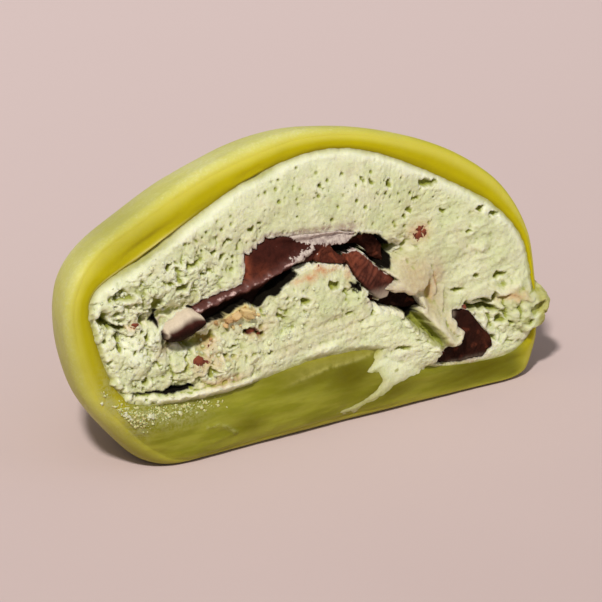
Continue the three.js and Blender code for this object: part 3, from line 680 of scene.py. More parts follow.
def skin_proud(x, y, share):
    """How far the cut skin stands proud, by its place and its share of the way inwards: the
    wall is a low arch and the fold a high one, with a lip, a crease, a film and soft waves."""
    fold = fold_share(x, y)
    share_in = np.clip(share, 0, 1)
    wall = 0.3 * np.sin(math.pi * share_in) ** 0.8 - 0.1
    bulge = 1.2 * np.sin(math.pi * share_in ** 0.85) ** 0.8 * step(share, 1.02, 0.7)
    proud = wall * (1 - fold) + bulge * fold * step(x, 30, 4) + 0.2 * fold
    proud += 0.16 * ripple(x, y, 7, 31) + 0.05 * ripple(x, y, 2.4, 32)
    lip = patches(x, y, SKIN_LIP)
    proud += 0.4 * lip * bell(share - 0.84, 0.07) - 0.3 * lip * bell(share - 0.6, 0.14)
    proud -= 0.1 * lip * step(share, 0.88, 0.99)
    proud += 0.2 * bell(open_line(x, y, CREASE), 0.25)
    near, way = beside(x, y, FILM)
    proud += 0.14 * step(near, -0.15, 0.15) * step(way, 0, 0.3) * fold
    long_x, long_y = turned(x, y, 8)
    proud += fold * (0.07 * ripple(long_x, long_y, 9, 33, 1.1) + 0.03 * ripple(long_x, long_y, 4, 34, 0.5))
    return proud


def skin_level(x, y):
    """How proud the skin stands at places on the face."""
    away_x, away_y = x - FACE_CENTRE[0], y - FACE_CENTRE[1]
    angle = np.arctan2(away_y, away_x)
    inner = radius_at(CREAM_EDGE, angle)
    outside = grounded(radius_at(SKIN_EDGE, angle), angle, 0.0) - 1
    return skin_proud(x, y, (outside - np.hypot(away_x, away_y)) / (outside - inner))


def make_skin(look):
    """The skin as rings about the face centre: dome, rounded edge, cut band and cavity."""
    angle = np.arange(SKIN_SIDES) * 2 * math.pi / SKIN_SIDES
    edge, inner = radius_at(SKIN_EDGE, angle), radius_at(CREAM_EDGE, angle)
    rows, cut, share_rows = [], [], []

    def add_row(points, share, shown):
        rows.append(points)
        share_rows.append(np.full(SKIN_SIDES, share))
        cut.append(np.full(SKIN_SIDES, shown))

    def outer_wall(back, less=0.0):
        return on_ray(angle, grounded(edge + swell(back, angle), angle, back) - less)

    dome = np.cos(np.linspace(0, math.pi / 2, DOME_ROWS)[1:]) ** 1.15
    for back in ROUND_BACK + (SKIN_BODY["depth"] - ROUND_BACK) * dome:
        x, y = outer_wall(back)
        add_row(tapered(x, y, np.full_like(x, back), SKIN_BODY), -back, 0.0)
    thick = grounded(edge, angle, 0.0) - inner
    inset = np.clip(0.32 * thick, 0.6, 1.2)
    for turn in np.linspace(0, 1, EDGE_ROWS)[1:] * math.pi / 2:
        back = np.full(SKIN_SIDES, ROUND_BACK * (1 - math.sin(turn)))
        x, y = outer_wall(back, inset * (1 - math.cos(turn)))
        proud = skin_proud(x, y, np.zeros(SKIN_SIDES)) * math.sin(turn) ** 3
        add_row(tapered(x, y, back - proud, SKIN_BODY), -back[0], 0.3 * (1 - math.cos(turn)))
    outside = grounded(edge, angle, 0.0) - inset
    for share in np.linspace(0, 1, BAND_ROWS)[1:]:
        x, y = on_ray(angle, outside + (inner - outside) * share)
        proud = skin_proud(x, y, np.full(SKIN_SIDES, share))
        add_row(on_face(x, y, 0.15 * step(share, 0.97, 1.0) - proud), share, 0.3 + 0.7 * share)
    for share in CAVITY_STEPS:
        x, y = on_ray(angle, inner)
        add_row(tapered(x, y, np.full_like(x, share * FILLING_BODY["depth"]), FILLING_BODY), 1.0, 1.0)

    rings = np.array(rows)
    flat = rings.reshape(-1, 3)
    (coarse, tall), (fine, low) = SKIN_LUMPS["coarse"], SKIN_LUMPS["fine"]
    lumps = noise(flat / (coarse * MM), 41) * tall + noise(flat / (fine * MM), 42) * low
    outer = np.clip(-np.array(share_rows) / 4, 0, 1).ravel() * step(flat[:, 2], 0.4 * MM, 4 * MM)
    across, up = SKIN_LUMPS["centre"]
    away = flat - np.array([across - BASE_MIDDLE[0], 0.0, up]) * MM
    away /= np.linalg.norm(away, axis=1, keepdims=True)
    flat = flat + away * ((lumps - SKIN_LUMPS["less"]) * outer)[:, None] * MM
    flat[:, 2] = np.maximum(flat[:, 2], 0)
    rear = on_face(*SKIN_BODY["pole"], SKIN_BODY["depth"] - 0.1)
    within = on_face(*FILLING_BODY["pole"], FILLING_BODY["depth"])
    points, faces = closed_rings(flat.reshape(rings.shape), rear, within)

    cut = np.concatenate([np.array(cut).ravel(), [0, 1]])
    across = points[:, 0] / MM + BASE_MIDDLE[0]
    up = points[:, 2] / MM / math.cos(LEAN)
    shown = step(cut, 0.05, 0.4)
    fold = fold_share(across, up) * shown
    near, way = beside(across, up, FILM)
    starch = np.maximum(patches(across, up, SKIN_STARCH), 0.7 * bell(open_line(across, up, CREASE), 0.2))
    # Masks for the look: deep is the fold's thicker colour with painted shade in it, pale a painted
    # highlight along the inner lip, low and left painted shade on the outside.
    make_piece(
        "skin_soft", points, faces, "rice_skin", look, "skin",
        cut=cut,
        fold=fold,
        deep=patches(across, up, SKIN_DEEP_AND_SHADED) * fold,
        starch=starch * shown,
        pale=patches(across, up, SKIN_LIP_HIGHLIGHT) * bell(cut - 0.895, 0.03),
        film=step(near, -0.15, 0.2) * step(way, 0, 0.4) * fold * step(cut, 1.0, 0.98),
        line=bell(near, 0.22) * step(way, 0, 0.5) * step(way, 1, 0.9) * fold,
        low=step(up, 14, 3) * (1 - shown),
        left=0.6 * patches(across, up, SKIN_LEFT_SHADE) * step(cut, 0.95, 0.7),
        right=step(across, 2, 30) * step(up, 3, 17),
    )


# ------------ the cream

def blurred(field, radius):
    """Box blur over the sheet's rows and columns."""
    for axis in (0, 1):
        pad = [(radius + 1, radius) if k == axis else (0, 0) for k in (0, 1)]
        total = np.cumsum(np.pad(field, pad, mode="edge"), axis=axis)
        n = total.shape[axis]
        ahead = np.take(total, np.arange(2 * radius + 1, n), axis=axis)
        behind = np.take(total, np.arange(0, n - 2 * radius - 1), axis=axis)
        field = (ahead - behind) / (2 * radius + 1)
    return field


def laid_folds(x, y, loose):
    """The folds: how high they stand, and how smooth, beige and white they make the cream."""
    tall, smooth = np.zeros(x.shape), np.zeros(x.shape)
    beige = patches(*loose, BEIGE)
    white = patches(x, y, WHITE) * step(ripple(*loose, 3, 21), -0.6, 0.2)
    for points, height, edge, fade, how_beige, how_white in FOLDS:
        near, share = beside(loose[0] * 0.7 + x * 0.3, loose[1] * 0.7 + y * 0.3, points)
        behind = bell(np.maximum(near, 0), fade) * np.sqrt(np.sin(math.pi * share))
        tall = np.maximum(tall, height * behind * round_off(near + 0.1, edge))
        smooth = np.maximum(smooth, behind * step(near, -0.1, 0.1))
        beige = np.maximum(beige, how_beige * behind * step(near, -0.2, 0.1))
        white = np.maximum(white, how_white * behind * step(near, -0.2, 0.3))
    return tall, smooth, beige, white


def cream_relief(x, y, loose, fold, smooth, ragged):
    """The cream before anything is cut out of it: soft rises, torn lumps (domes of three sizes,
    so that valleys are sharp), drag lines, streaks, the folds, and pores. Also gives where it is
    torn and how deep its pits are, which is painted as a greener shade."""
    torn = np.clip(patches(x, y, TORN), 0, 1) * (1 - 0.75 * smooth)
    dragged = patches(x, y, DRAGGED)
    porous = np.clip(0.2 + patches(x, y, POROUS), 0, 1) * (1 - 0.6 * smooth)
    height = np.full(x.shape, CREAM_PROUD)
    for *spot, lift in CREAM_RELIEF:
        height += lift * hump(x, y, spot)
    torn = np.maximum(torn, 0.9 * ragged)
    cavity = torn * step(ripple(*loose, 2.1, 20), -0.2, -0.6) * (1 - ragged)
    clumps = 0.75 * domes(*loose, 2.2, 5) + 0.65 * domes(*loose, 1.1, 6)
    clumps += 0.22 * domes(x, y, 0.6, 7)
    height += torn * (clumps - 0.8 - 0.8 * cavity)
    height += (1 - torn) * (0.16 * ripple(x, y, 2.6, 8) + 0.1 * creases(x, y, 1.3, 9))
    line_x, line_y = turned(*loose, -6 + 0.5 * (x - 30))
    drag = 0.3 * ripple(line_x, line_y, 6, 10, 1.4) + 0.2 * creases(line_x, line_y, 3.4, 11, 0.8)
    height += dragged * drag
    line_x, line_y = turned(x, y, 9)
    streak = 0.32 * ripple(line_x, line_y, 8, 12, 1.1) + 0.16 * creases(line_x, line_y, 4.5, 13, 0.5)
    height += patches(x, y, STREAKED) * streak * (1 - torn)
    plain = np.maximum(smooth, 0.8 * dragged)
    height += 0.07 * ripple(x, y, 0.45, 14) * (1 - 0.4 * plain)
    height += 0.08 * creases(*loose, 0.8, 30) * (1 - plain)
    height += fold
    uneven = step(ripple(x, y, 4, 37), -0.3, 0.4)
    fine_pore = 0.34 * pits(x, y, 0.95, 0.5, 0.3, 16) * (0.2 + 0.8 * porous * uneven)
    fine_pore *= (1 - smooth) * (1 - 0.8 * dragged)
    pore = np.maximum(0.5 * pits(x, y, 1.9, 0.4, 0.45, 15) * porous, fine_pore)
    pore = np.maximum(pore, 0.9 * pits(*loose, 2.3, 0.4, 0.7, 17) * torn)
    return height - pore, torn, np.maximum(0.8 * cavity, 0.9 * pore)


def cream_surface(x, y):
    """Heights of the cut cream, with masks of its stains and of painted shade. The relief is cut open
    by holes, cracks and the room of the chocolate; it rounds off at the cream's edge and dives
    behind the skin. The crag, the flap and dusted crumbs lie over it, whichever is highest. What
    is torn is drawn at loose places, which wander a little about the true ones."""
    loose = [
        x + 0.45 * ripple(x, y, 1.6, 1) + 0.2 * ripple(x, y, 0.7, 2),
        y + 0.45 * ripple(x, y, 1.6, 3) + 0.2 * ripple(x, y, 0.7, 4),
    ]

    def shaken(outline, share):
        """Signed distance to an outline that wanders by a share as far as the loose places."""
        return inside(share * loose[0] + (1 - share) * x, share * loose[1] + (1 - share) * y, outline)

    crumbly = step(x, -22, -29) * step(y, 27, 23)
    body = shaken(loop(CREAM_EDGE, OUTLINE_POINTS), 0.3)
    body += crumbly * (0.45 * ripple(x, y, 1.3, 41) + 0.25 * ripple(x, y, 0.6, 42))
    flap = shaken(FLAP, 0.4)
    crag = shaken(loop(CRAG, 60), 0.6)
    present = np.maximum(np.maximum(body, flap), crag)

    fold, smooth, beige, white = laid_folds(x, y, loose)
    rim = step(body, 2.4, 0.6) * step(y, 14, 24)
    white = np.maximum(white, 0.7 * rim)
    smooth = np.maximum(smooth, 0.8 * rim)
    ragged = bell(open_line(x, y, CREST), 1.1)
    height, torn, green = cream_relief(x, y, loose, fold, smooth, ragged)

    # dark is painted shade, nearly black, at the bottom of holes, cracks and open room and round the
    # chocolate; green is a greener painted shade.
    dark = np.zeros(x.shape)
    for *spot, deep, darkness in HOLES:
        near = oval(*loose, spot)
        height -= deep * step(near, 1.15, 0.45)
        green = np.maximum(green, step(near, 1.3, 0.6))
        dark = np.maximum(dark, darkness * step(near, 0.85, 0.35))
    for points, width, deep, darkness in CRACKS:
        near = open_line(*loose, points)
        height -= deep * step(near, width * 1.15, width * 0.35)
        green = np.maximum(green, step(near, width * 1.5, width * 0.7))
        dark = np.maximum(dark, darkness * step(near, width, width * 0.4))
    nut = step(shaken(NUT_PATCH, 1), -0.15, 0.25)
    lumps = 0.5 * domes(x, y, 1.7, 22, 0.8) + 0.3 * domes(x, y, 0.8, 23) + 0.12 * domes(x, y, 0.4, 38)
    height = height * (1 - nut) + nut * (0.45 + lumps)
    green, dark = green * (1 - nut), dark * (1 - nut)
    serrated = ragged * (0.6 * creases(x, y, 0.8, 29) - 0.2) + 0.04
    for outline, deep, darkness in OPENINGS:
        room = shaken(outline, 0.5) + serrated
        height -= deep * step(room, 0.16, 0.6)
        green = np.maximum(green, step(room, -0.45, 0.0) * (1 - 0.6 * darkness))
        dark = np.maximum(dark, darkness * step(room, -0.12, 0.06))
    frost = bell(open_line(x, y, FROST), 0.6)
    height += 0.1 * frost * domes(x, y, 0.55, 24)

    # The edge: a groove in some places, painted a greener shade, elsewhere a round lap on the skin with
    # crumbs on it.
    groove = patches(x, y, GROOVE)
    green = np.maximum(green, groove * step(present, 0.75, 0.2))
    white = white * (1 - groove * step(present, 1.1, 0.5))
    groove *= step(y, 8, 12)
    level = skin_level(x, y)
    lap = present + 0.5 * (1 - groove)
    rounded = step(lap, 0, 1.4) * (1 - groove) + round_off(lap, 1.2) * groove
    foot = (level - 0.14) * (1 - groove) - 0.25 * groove
    height = foot + (height - foot) * rounded - 2.2 * step(lap, 0.02, -0.22)
    border = crumbly * step(lap, 0.1, 0.5) * step(lap, 2.2, 1.2)
    height += border * (0.5 * domes(*loose, 1.2, 43) + 0.3 * domes(x, y, 0.6, 44) - 0.25)

    lobe = 0.2 + 1.5 * round_off(crag, 1.1) + 0.3 * domes(*loose, 1.3, 36) * step(crag, 0.2, 0.8)
    for *spot, deep in CRAG_HOLLOWS:
        near = oval(*loose, spot)
        lobe -= deep * step(near, 1.2, 0.4)
        green = np.maximum(green, 0.9 * step(near, 1.2, 0.5) * (crag > 0))
    # The crag is painted a little greener all over as shade, and its hollows more.
    green = np.maximum(green, 0.4 * step(crag, -0.2, 0.5))
    lobe = lobe * step(x, 34, 36.4) - 9 * step(x, 35, 34)
    height = np.where(crag > 0, np.maximum(height, lobe), height)
    on_flap, on_skin = step(flap, 0, 1), step(body, 3.4, -0.6)
    smear = level - 0.1 + 0.34 * step(flap, -0.4, 2) + 0.12 * ripple(x, y, 2.6, 25) * on_flap
    smear += 0.05 * creases(*loose, 0.9, 26) * on_flap
    height = np.maximum(height, np.where(flap > -0.4, smear * on_skin + height * (1 - on_skin), -9))
    crumb = domes(x, y, 0.55, 27, 0.8, 0.8) + 0.4 * ripple(x, y, 1.5, 28) + patches(x, y, DUST) - 1.12
    crumb = np.where(present < 0.2, crumb, -1)
    height = np.maximum(height, np.where(crumb > 0, level + 0.02 + 0.4 * crumb, -9))
    smooth = np.maximum(smooth, step(crumb, -0.1, 0.1))

    # Room for the chocolate, with a toothed rim, and deep where two pieces meet; there and at the foot of
    # each piece the cream is painted nearly black as shade.
    sunk, fringe = np.zeros(x.shape), np.zeros(x.shape)
    nearest, second = np.full(x.shape, -9.0), np.full(x.shape, -9.0)
    flush = step(frost, 0.1, 0.45) * step(x, -4.6, -2.4)
    tooth = 0.3 * ripple(x, y * 0.6, 0.6, 18) + 0.16 * ripple(x, y, 1.5, 19)
    tooth *= 0.35 + 1.4 * frost * (1 - flush) + ragged
    for name, shape in CHOCOLATE.items():
        within = inside(x, y, seen_outline(shape)) + tooth - LAPPED.get(name, 0.08)
        if name == "choc_plate":
            within -= 0.3 * flush
            height += frost * step(within, -1.2, -0.1) * (0.2 - height)
        sunk = np.maximum(sunk, SUNK.get(name, 2.6) * step(within, -0.12, 0.1))
        second = np.maximum(second, np.minimum(nearest, within))
        nearest = np.maximum(nearest, within)
        fringe = np.maximum(fringe, step(within, -0.8, 0.1) * (1 - nut))
    between = step(second, -0.75, -0.5) * step(nearest, -0.9, -0.5)
    height = height * step(nearest, 0.1, -0.15) - np.maximum(sunk, 2.6 * between)
    dark = np.maximum(dark, np.maximum(between, step(nearest, -0.08, 0.1)) * (1 - flush))
    thin = np.maximum(step(flap, 0.7 + 0.8 * step(x, 15, 11), -0.1), 0.85 * step(y, 5.4, 2.4))
    return height, {
        "torn": torn,
        "dark": dark,
        "green": green,
        "fringe": fringe,
        "beige": beige,
        "orange_and_shadow": patches(*loose, ORANGE_AND_SHADOW),
        "dust": step(crumb, -0.02, 0.02),
        "mauve": patches(*loose, MAUVE),
        "brown": patches(*loose, BROWN),
        "nut": nut,
        "frost": frost * (1 - flush),
        "smooth": smooth,
        "thin": thin * step(body, 0.6, -0.2) * (crumb < 0),
        "white": white * (crumb < 0),
    }


def make_cream(look):
    """The cream: a rectangular sheet of cells stretched over its front, ring by ring, and rings
    that carry its edge back along the cavity to the rear pole."""
    u, v = np.meshgrid(*(np.linspace(-1, 1, cells + 1) for cells in SHEET_CELLS))
    share = np.maximum(np.abs(u), np.abs(v))
    angle = np.arctan2(v * SHEET_CELLS[1], u * SHEET_CELLS[0])
    reach = np.maximum(radius_at(SHEET_EDGE, angle), radius_at(CREAM_EDGE, angle) + SHEET_PAST)
    x, y = on_ray(angle, share * reach)
    height, masks = cream_surface(x, y)
    # hollowed and sunk say how far the cream lies below its blurred self: they paint shade into hollows and
    # a highlight onto the tops of lumps.
    masks["hollowed"] = np.clip(blurred(height, 3) - height, -1, 1)
    masks["sunk"] = np.clip(blurred(height, 9) - height, -1, 2)
    overhang = masks["torn"] * step(masks["fringe"], 0.3, 0)
    hang = np.maximum(0.3 * overhang, 0.3 * masks["smooth"] * step(y, 11, 14))
    droop = np.clip(hang * step(share, 0.97, 0.9) * height, 0, 0.7)
    front = on_face(x + 0.4 * droop, y - droop, -height).reshape(-1, 3)

    index = np.arange(x.size).reshape(x.shape)
    edge = np.concatenate([index[0, :-1], index[:-1, -1], index[-1, :0:-1], index[:0:-1, 0]])
    sides = len(edge)
    turn = angle.ravel()[edge]
    place = on_ray(turn, radius_at(CREAM_EDGE, turn) - SHELL_GAP)
    depth = FILLING_BODY["depth"]
    rings = [tapered(*place, np.full(sides, part * depth), FILLING_BODY) for part in REAR_STEPS]
    rear = on_face(*FILLING_BODY["pole"], depth - SHELL_GAP)
    first = len(front)
    points = np.concatenate([front, *rings, [rear]])
    corners = [index[:-1, :-1], index[:-1, 1:], index[1:, 1:], index[1:, :-1]]
    ring = np.arange(sides)
    after = np.roll(ring, -1)
    faces = [
        np.stack(corners, -1).reshape(-1, 4),
        np.stack([edge[after], edge, first + ring, first + after], -1),
        ring_faces(len(rings), sides, first)[:, ::-1],
        fan_faces(ring + first + (len(rings) - 1) * sides, len(points) - 1, flip=True),
    ]
    make_piece("cream_whipped", points, faces, "cream", look, "cream", **padded(masks, x.shape, len(points)))


# ------------ the chocolate

def seen_outline(shape):
    """The outline of a piece where the cream leaves it bare."""
    return shape.get("seen", shape["low"] + shape["high"][::-1])


def make_plank(name, shape, front, seed, look):
    """A broken plate carried from end to end between its low and high edge. Each section is a
    ring: up the broken front, back along the top, down the rear and forward underneath."""
    s = np.linspace(0, 1, PLANK_LENGTH)
    low, high = along(shape["low"], s), along(shape["high"], s)
    for _ in range(shape.get("soft", 0)):
        for line in (low, high):
            line[1:-1] = (line[:-2] + 2 * line[1:-1] + line[2:]) / 4
    rearward = np.linspace(0, 1, PLANK_EDGE + 1)[1:] ** 1.6
    up = [
        np.linspace(0, 1, PLANK_FRONT),
        np.ones(PLANK_EDGE),
        np.linspace(1, 0, PLANK_REAR + 2)[1:-1],
        np.zeros(PLANK_EDGE),
    ]
    run = np.concatenate([np.zeros(PLANK_FRONT), rearward, np.ones(PLANK_REAR), rearward[::-1]])
    s2, t2 = np.meshgrid(s, np.concatenate(up), indexing="ij")
    x = low[:, None, 0] + (high - low)[:, None, 0] * t2
    y = low[:, None, 1] + (high - low)[:, None, 1] * t2
    ragged_low, ragged_high = (0.12 * ripple(*low.T, 0.9, seed), 0.12 * ripple(*high.T, 0.9, seed + 1))
    y = y - ragged_low[:, None] * (1 - t2) + ragged_high[:, None] * t2
    lift, masks = front(s2, t2, x, y)
    rounding = np.minimum(round_off(t2, 0.12), round_off(1 - t2, 0.12))
    rounding *= np.minimum(round_off(s2, 0.03), round_off(1 - s2, 0.03))
    proud = shape["bottom"] + (shape["top"] - shape["bottom"]) * t2 + lift - 0.35 * (1 - rounding)
    rings = tapered(x, y, -proud + (shape["deep"] + proud) * run[None, :], FILLING_BODY)
    points, faces = closed_rings(rings, rings[0].mean(0), rings[-1].mean(0))
    masks = padded(masks, x.shape, len(points))
    make_piece(name + "_broken", points, faces, "chocolate", look, name, **masks)


def plate_front(s, t, x, y):
    """A dull sunk face above a bumpy ridge line, which is glossy and carries painted sheen; under
    the line the break turns back and is painted nearly black as shade. To the left it runs out
    into a strip with the ridge along its middle."""
    near, _ = beside(x, y + 0.2 * ripple(x, y, 1.5, 58), RIDGE)
    fades = step(x, 2, -1)
    ridge = bell(near, np.where(x < -7, 0.6, 0.42)) * (0.4 + 0.6 * fades)
    bumps = ripple(x, y, 1.1, 54) + 0.6 * ripple(x, y, 0.55, 59)
    lift = 0.6 * ridge * (0.8 + 0.6 * bumps) - 0.25 * step(near, 0.2, 1.2)
    lift -= 1.3 * step(near, -0.2, -1.9) * fades
    lift += 0.14 * creases(x, y, 1.2, 51) * step(near, -0.1, -0.6)
    lift += 0.1 * ripple(x, y, 2.2, 52) + 0.05 * creases(x, y, 0.7, 53)
    crumbly = patches(x, y, PLATE_CRUMBLY)
    lift += 0.5 * step(x, -4.6, -2) * step(t, 0.72, 0.95)
    return lift + 0.35 * crumbly, {
        "bloom": np.maximum(step(inside(x, y, PLATE_BLOOM), -0.5, 0.5), crumbly),
        "shine": ridge * fades,
        "red": patches(x, y, PLATE_RED),
        "black": 0.95 * step(near, -0.35, -1.1) * fades,
    }


def slab_front(s, t, x, y):
    """A flat split face with fine steps across it, redder at its upper end, paler at its lower end,
    blacker along its low edge, and with a painted highlight along its high edge.
    """
    along_it, across_it = turned(x - 8, y - 23.7, -50)
    steps = creases(along_it, across_it, 0.75, 61, 3)
    edge = step(t + 0.03 * ripple(x, y, 0.8, 63), 0.9, 0.97)
    return 0.12 * steps + 0.14 * ripple(x, y, 1.6, 62), {
        "bloom": 0.75 * edge,
        "pale": 0.4 * step(y, 18.8, 17.2),
        "shine": 0.3 * steps,
        "red": 0.3 + 0.5 * step(along_it, 3.4, 0.5) + 0.7 * (steps - 0.3),
        "black": 0.6 * step(t, 0.12, 0.02) + 0.3 * step(t, 0.75, 0.4) * step(along_it, 2, 6),
    }


def curl_front(s, t, x, y):
    """A roll: round from low to high, painted pale on top as light and fading to nearly black
    underneath as painted shade. Its left end is an open shell, painted dark inside as shade, with
    a painted highlight on its rim."""
    level = t + 0.05 * ripple(x, y, 1.4, 71) + 0.1 * step(s, 0.25, 0.1)
    end = step(s, 0.13, 0.07)
    rim = bell(s - 0.15, 0.035)
    lift = 1.9 * np.sin(math.pi * np.clip(t, 0, 1)) ** 0.65 - 1.3 * end * np.sin(math.pi * t) + 0.1 * rim
    return lift + 0.1 * ripple(x, y, 1.1, 72), {
        "pale": np.maximum(step(level, 0.6, 0.84) * (1 - 0.85 * end), 0.6 * rim * step(level, 0.1, 0.5)),
        "black": step(level, 0.7, 0.42) * 0.75 * (1 - rim) + 0.7 * end,
    }


def rough_front(red, bloom, black, seed):
    """A plain break: uneven all over, paler along its high edge, darkened by painted shade as much as asked,
    less where it is red.
    """
    def front(s, t, x, y):
        lift = 0.3 * ripple(x, y, 2.0, seed) + 0.2 * creases(x, y, 0.8, seed + 1)
        edge = step(t, 0.8, 0.96) * step(ripple(x, y, 1.1, seed + 2), -0.5, 0.3)
        red_spots = red + 0.4 * step(ripple(x, y, 1.2, seed + 3), 0.2, 0.6)
        darkness = black * (1 - 0.4 * step(red_spots, 0.3, 0.6))
        return lift, {"bloom": bloom * edge, "red": red_spots, "black": darkness}
    return front


def wedge_front(s, t, x, y):
    """A break darkened by painted shade, greyed where the cream has smeared it at its top left, redder at
    its right.
    """
    lift, masks = rough_front(0.14, 0.1, 0.75, 93)(s, t, x, y)
    masks["pale"] = patches(x, y, WEDGE_SMEARED)
    masks["red"] = masks["red"] + patches(x, y, WEDGE_RED)
    return lift + 0.16 * creases(x, y, 0.5, 98), masks


# For a plain break: how red, how much bloom, and how black, which is painted shade, deepest on the lip, the
# back piece and the wedge.
FRONTS = {
    "choc_plate": plate_front,
    "choc_shard": rough_front(0.35, 0.3, 0.25, 81),
    "choc_back": rough_front(0.3, 0.3, 0.7, 85),
    "choc_slab": slab_front,
    "choc_lip": rough_front(0.1, 0.0, 0.9, 89),
    "choc_wedge": wedge_front,
    "choc_curl": curl_front,
}


# ------------ crumbs and bits

def make_lumps(name, places, sizes, slot, look, seed, rows=3, sides=7, facets=0, squat=1.0, **masks):
    """Small uneven lumps in one mesh: each an ellipsoid turned at random, its radius 1 plus a
    noise of direction, and cut by flat facets where they are asked for."""
    draw = np.random.default_rng(seed)
    count = len(places)
    polar = np.linspace(0, math.pi, rows + 2)[1:-1]
    turn = np.arange(sides) * 2 * math.pi / sides
    ball = np.stack([
        np.outer(np.sin(polar), np.cos(turn)),
        np.outer(np.sin(polar), np.sin(turn)),
        np.outer(np.cos(polar), np.ones(sides)),
    ], -1).reshape(-1, 3)
    ball = np.concatenate([ball, [[0, 0, 1], [0, 0, -1]]])
    each = len(ball)
    shift = draw.uniform(0, 20, (count, 1, 3))
    coarse, fine = noise(ball[None] * 1.4 + shift, seed), noise(ball[None] * 3.5 + shift, seed + 1)
    radius = 1 + 0.32 * coarse + 0.2 * fine
    for _ in range(facets):
        facing = draw.normal(size=(count, 1, 3))
        facing /= np.linalg.norm(facing, axis=-1, keepdims=True)
        toward = np.sum(ball[None] * facing, axis=-1)
        radius = np.minimum(radius, draw.uniform(0.5, 0.8, (count, 1)) / np.maximum(toward, 0.05))
    spins = np.linalg.qr(draw.normal(size=(count, 3, 3)))[0]
    stretch = draw.uniform(0.6, 1.25, (count, 1, 3))
    shape = np.einsum("nij,nkj->nki", spins, ball[None] * radius[..., None] * stretch)
    shape[..., 1] *= squat
    shape = shape * np.asarray(sizes)[:, None, None] * MM
    points = (shape + np.asarray(places)[:, None, :]).reshape(-1, 3)
    starts = (np.arange(count) * each)[:, None, None]
    faces = [(block[None] + starts).reshape(-1, block.shape[1]) for block in shut_rings(rows, sides)]
    masks = {k: np.repeat(np.broadcast_to(m, count), each) for k, m in masks.items()}
    make_piece(name, points, faces, slot, look, **masks)


def scattered(count, table, draw):
    """Face coordinates drawn near the middles of soft patches."""
    px, py, reach_x, reach_y, strength = np.array(table, float).T
    weight = strength * reach_x * reach_y
    pick = draw.choice(len(table), count, p=weight / np.sum(weight))
    x = px[pick] + draw.normal(size=count) * reach_x[pick] * 0.7
    y = py[pick] + draw.normal(size=count) * reach_y[pick] * 0.7
    return x, y


def on_cream(x, y, lowest):
    """Places on the cream's relief, or on the lowest level where the relief is lower."""
    height, _ = cream_surface(x, y)
    return on_face(x, y, -np.maximum(height, lowest))


def make_crumbs(look):
    """Crumbs on the torn cream, away from its edge, the chocolate and the open room."""
    x, y = scattered(CRUMBS["count"], TORN[:4], rng)
    keep = inside(x, y, loop(CREAM_EDGE, OUTLINE_POINTS)) > CRUMBS_CLEAR["edge"]
    for shape in CHOCOLATE.values():
        keep &= inside(x, y, shape["low"] + shape["high"][::-1]) < -CRUMBS_CLEAR["chocolate"]
    for outline, _, _ in OPENINGS:
        keep &= inside(x, y, outline) < -CRUMBS_CLEAR["opening"]
    x, y = x[keep], y[keep]
    height, _ = cream_surface(x, y)
    sizes = CRUMBS["size"] + CRUMBS["more"] * rng.random(len(x)) ** 2
    places = on_face(x, y, CRUMBS["sunk"] - height)
    make_lumps("cream_crumbs", places, sizes, "cream", look, 7, torn=1, hollowed=0.05)


def make_powder(look):
    """Grains of starch on the skin under the cream, kept off its outer edge."""
    x, y = scattered(POWDER["count"], DUST, rng)
    keep = inside(x, y, loop(CREAM_EDGE, OUTLINE_POINTS)) < -POWDER_CLEAR["cream"]
    keep &= inside(x, y, loop(SKIN_EDGE, OUTLINE_POINTS)) > POWDER_CLEAR["edge"]
    x, y = x[keep], y[keep]
    sizes = POWDER["size"] + POWDER["more"] * rng.random(len(x)) ** 4
    make_lumps("starch_powder", on_face(x, y, -skin_level(x, y)), sizes, "rice_skin", look, 11)


# ------------ finishes

def srgb(red, green, blue):
    """A colour of 0 to 255 on a screen, as linear light."""
    c = np.array([red, green, blue]) / 255
    return tuple(np.where(c < 0.04045, c / 12.92, ((c + 0.055) / 1.055) ** 2.4)) + (1.0,)


class Value:
    """A shader value. Python's operators on it add Math nodes to its finish."""

    def __init__(self, finish, socket):
        self.finish, self.socket = finish, socket

    def _math(self, operation, *values):
        return self.finish.add("Math", {"operation": operation}, dict(enumerate(values)))

    def __add__(self, other):
        return self._math("ADD", self, other)

    def __sub__(self, other):
        return self._math("SUBTRACT", self, other)

    def __rsub__(self, other):
        return self._math("SUBTRACT", other, self)

    def __mul__(self, other):
        return self._math("MULTIPLY", self, other)

    __radd__, __rmul__ = __add__, __mul__

    def between(self, low, high):
        """0 below low, 1 above high and a smooth step between."""
        settings = {"interpolation_type": "SMOOTHSTEP"}
        return self.finish.add("MapRange", settings, {"Value": self, "From Min": low, "From Max": high})


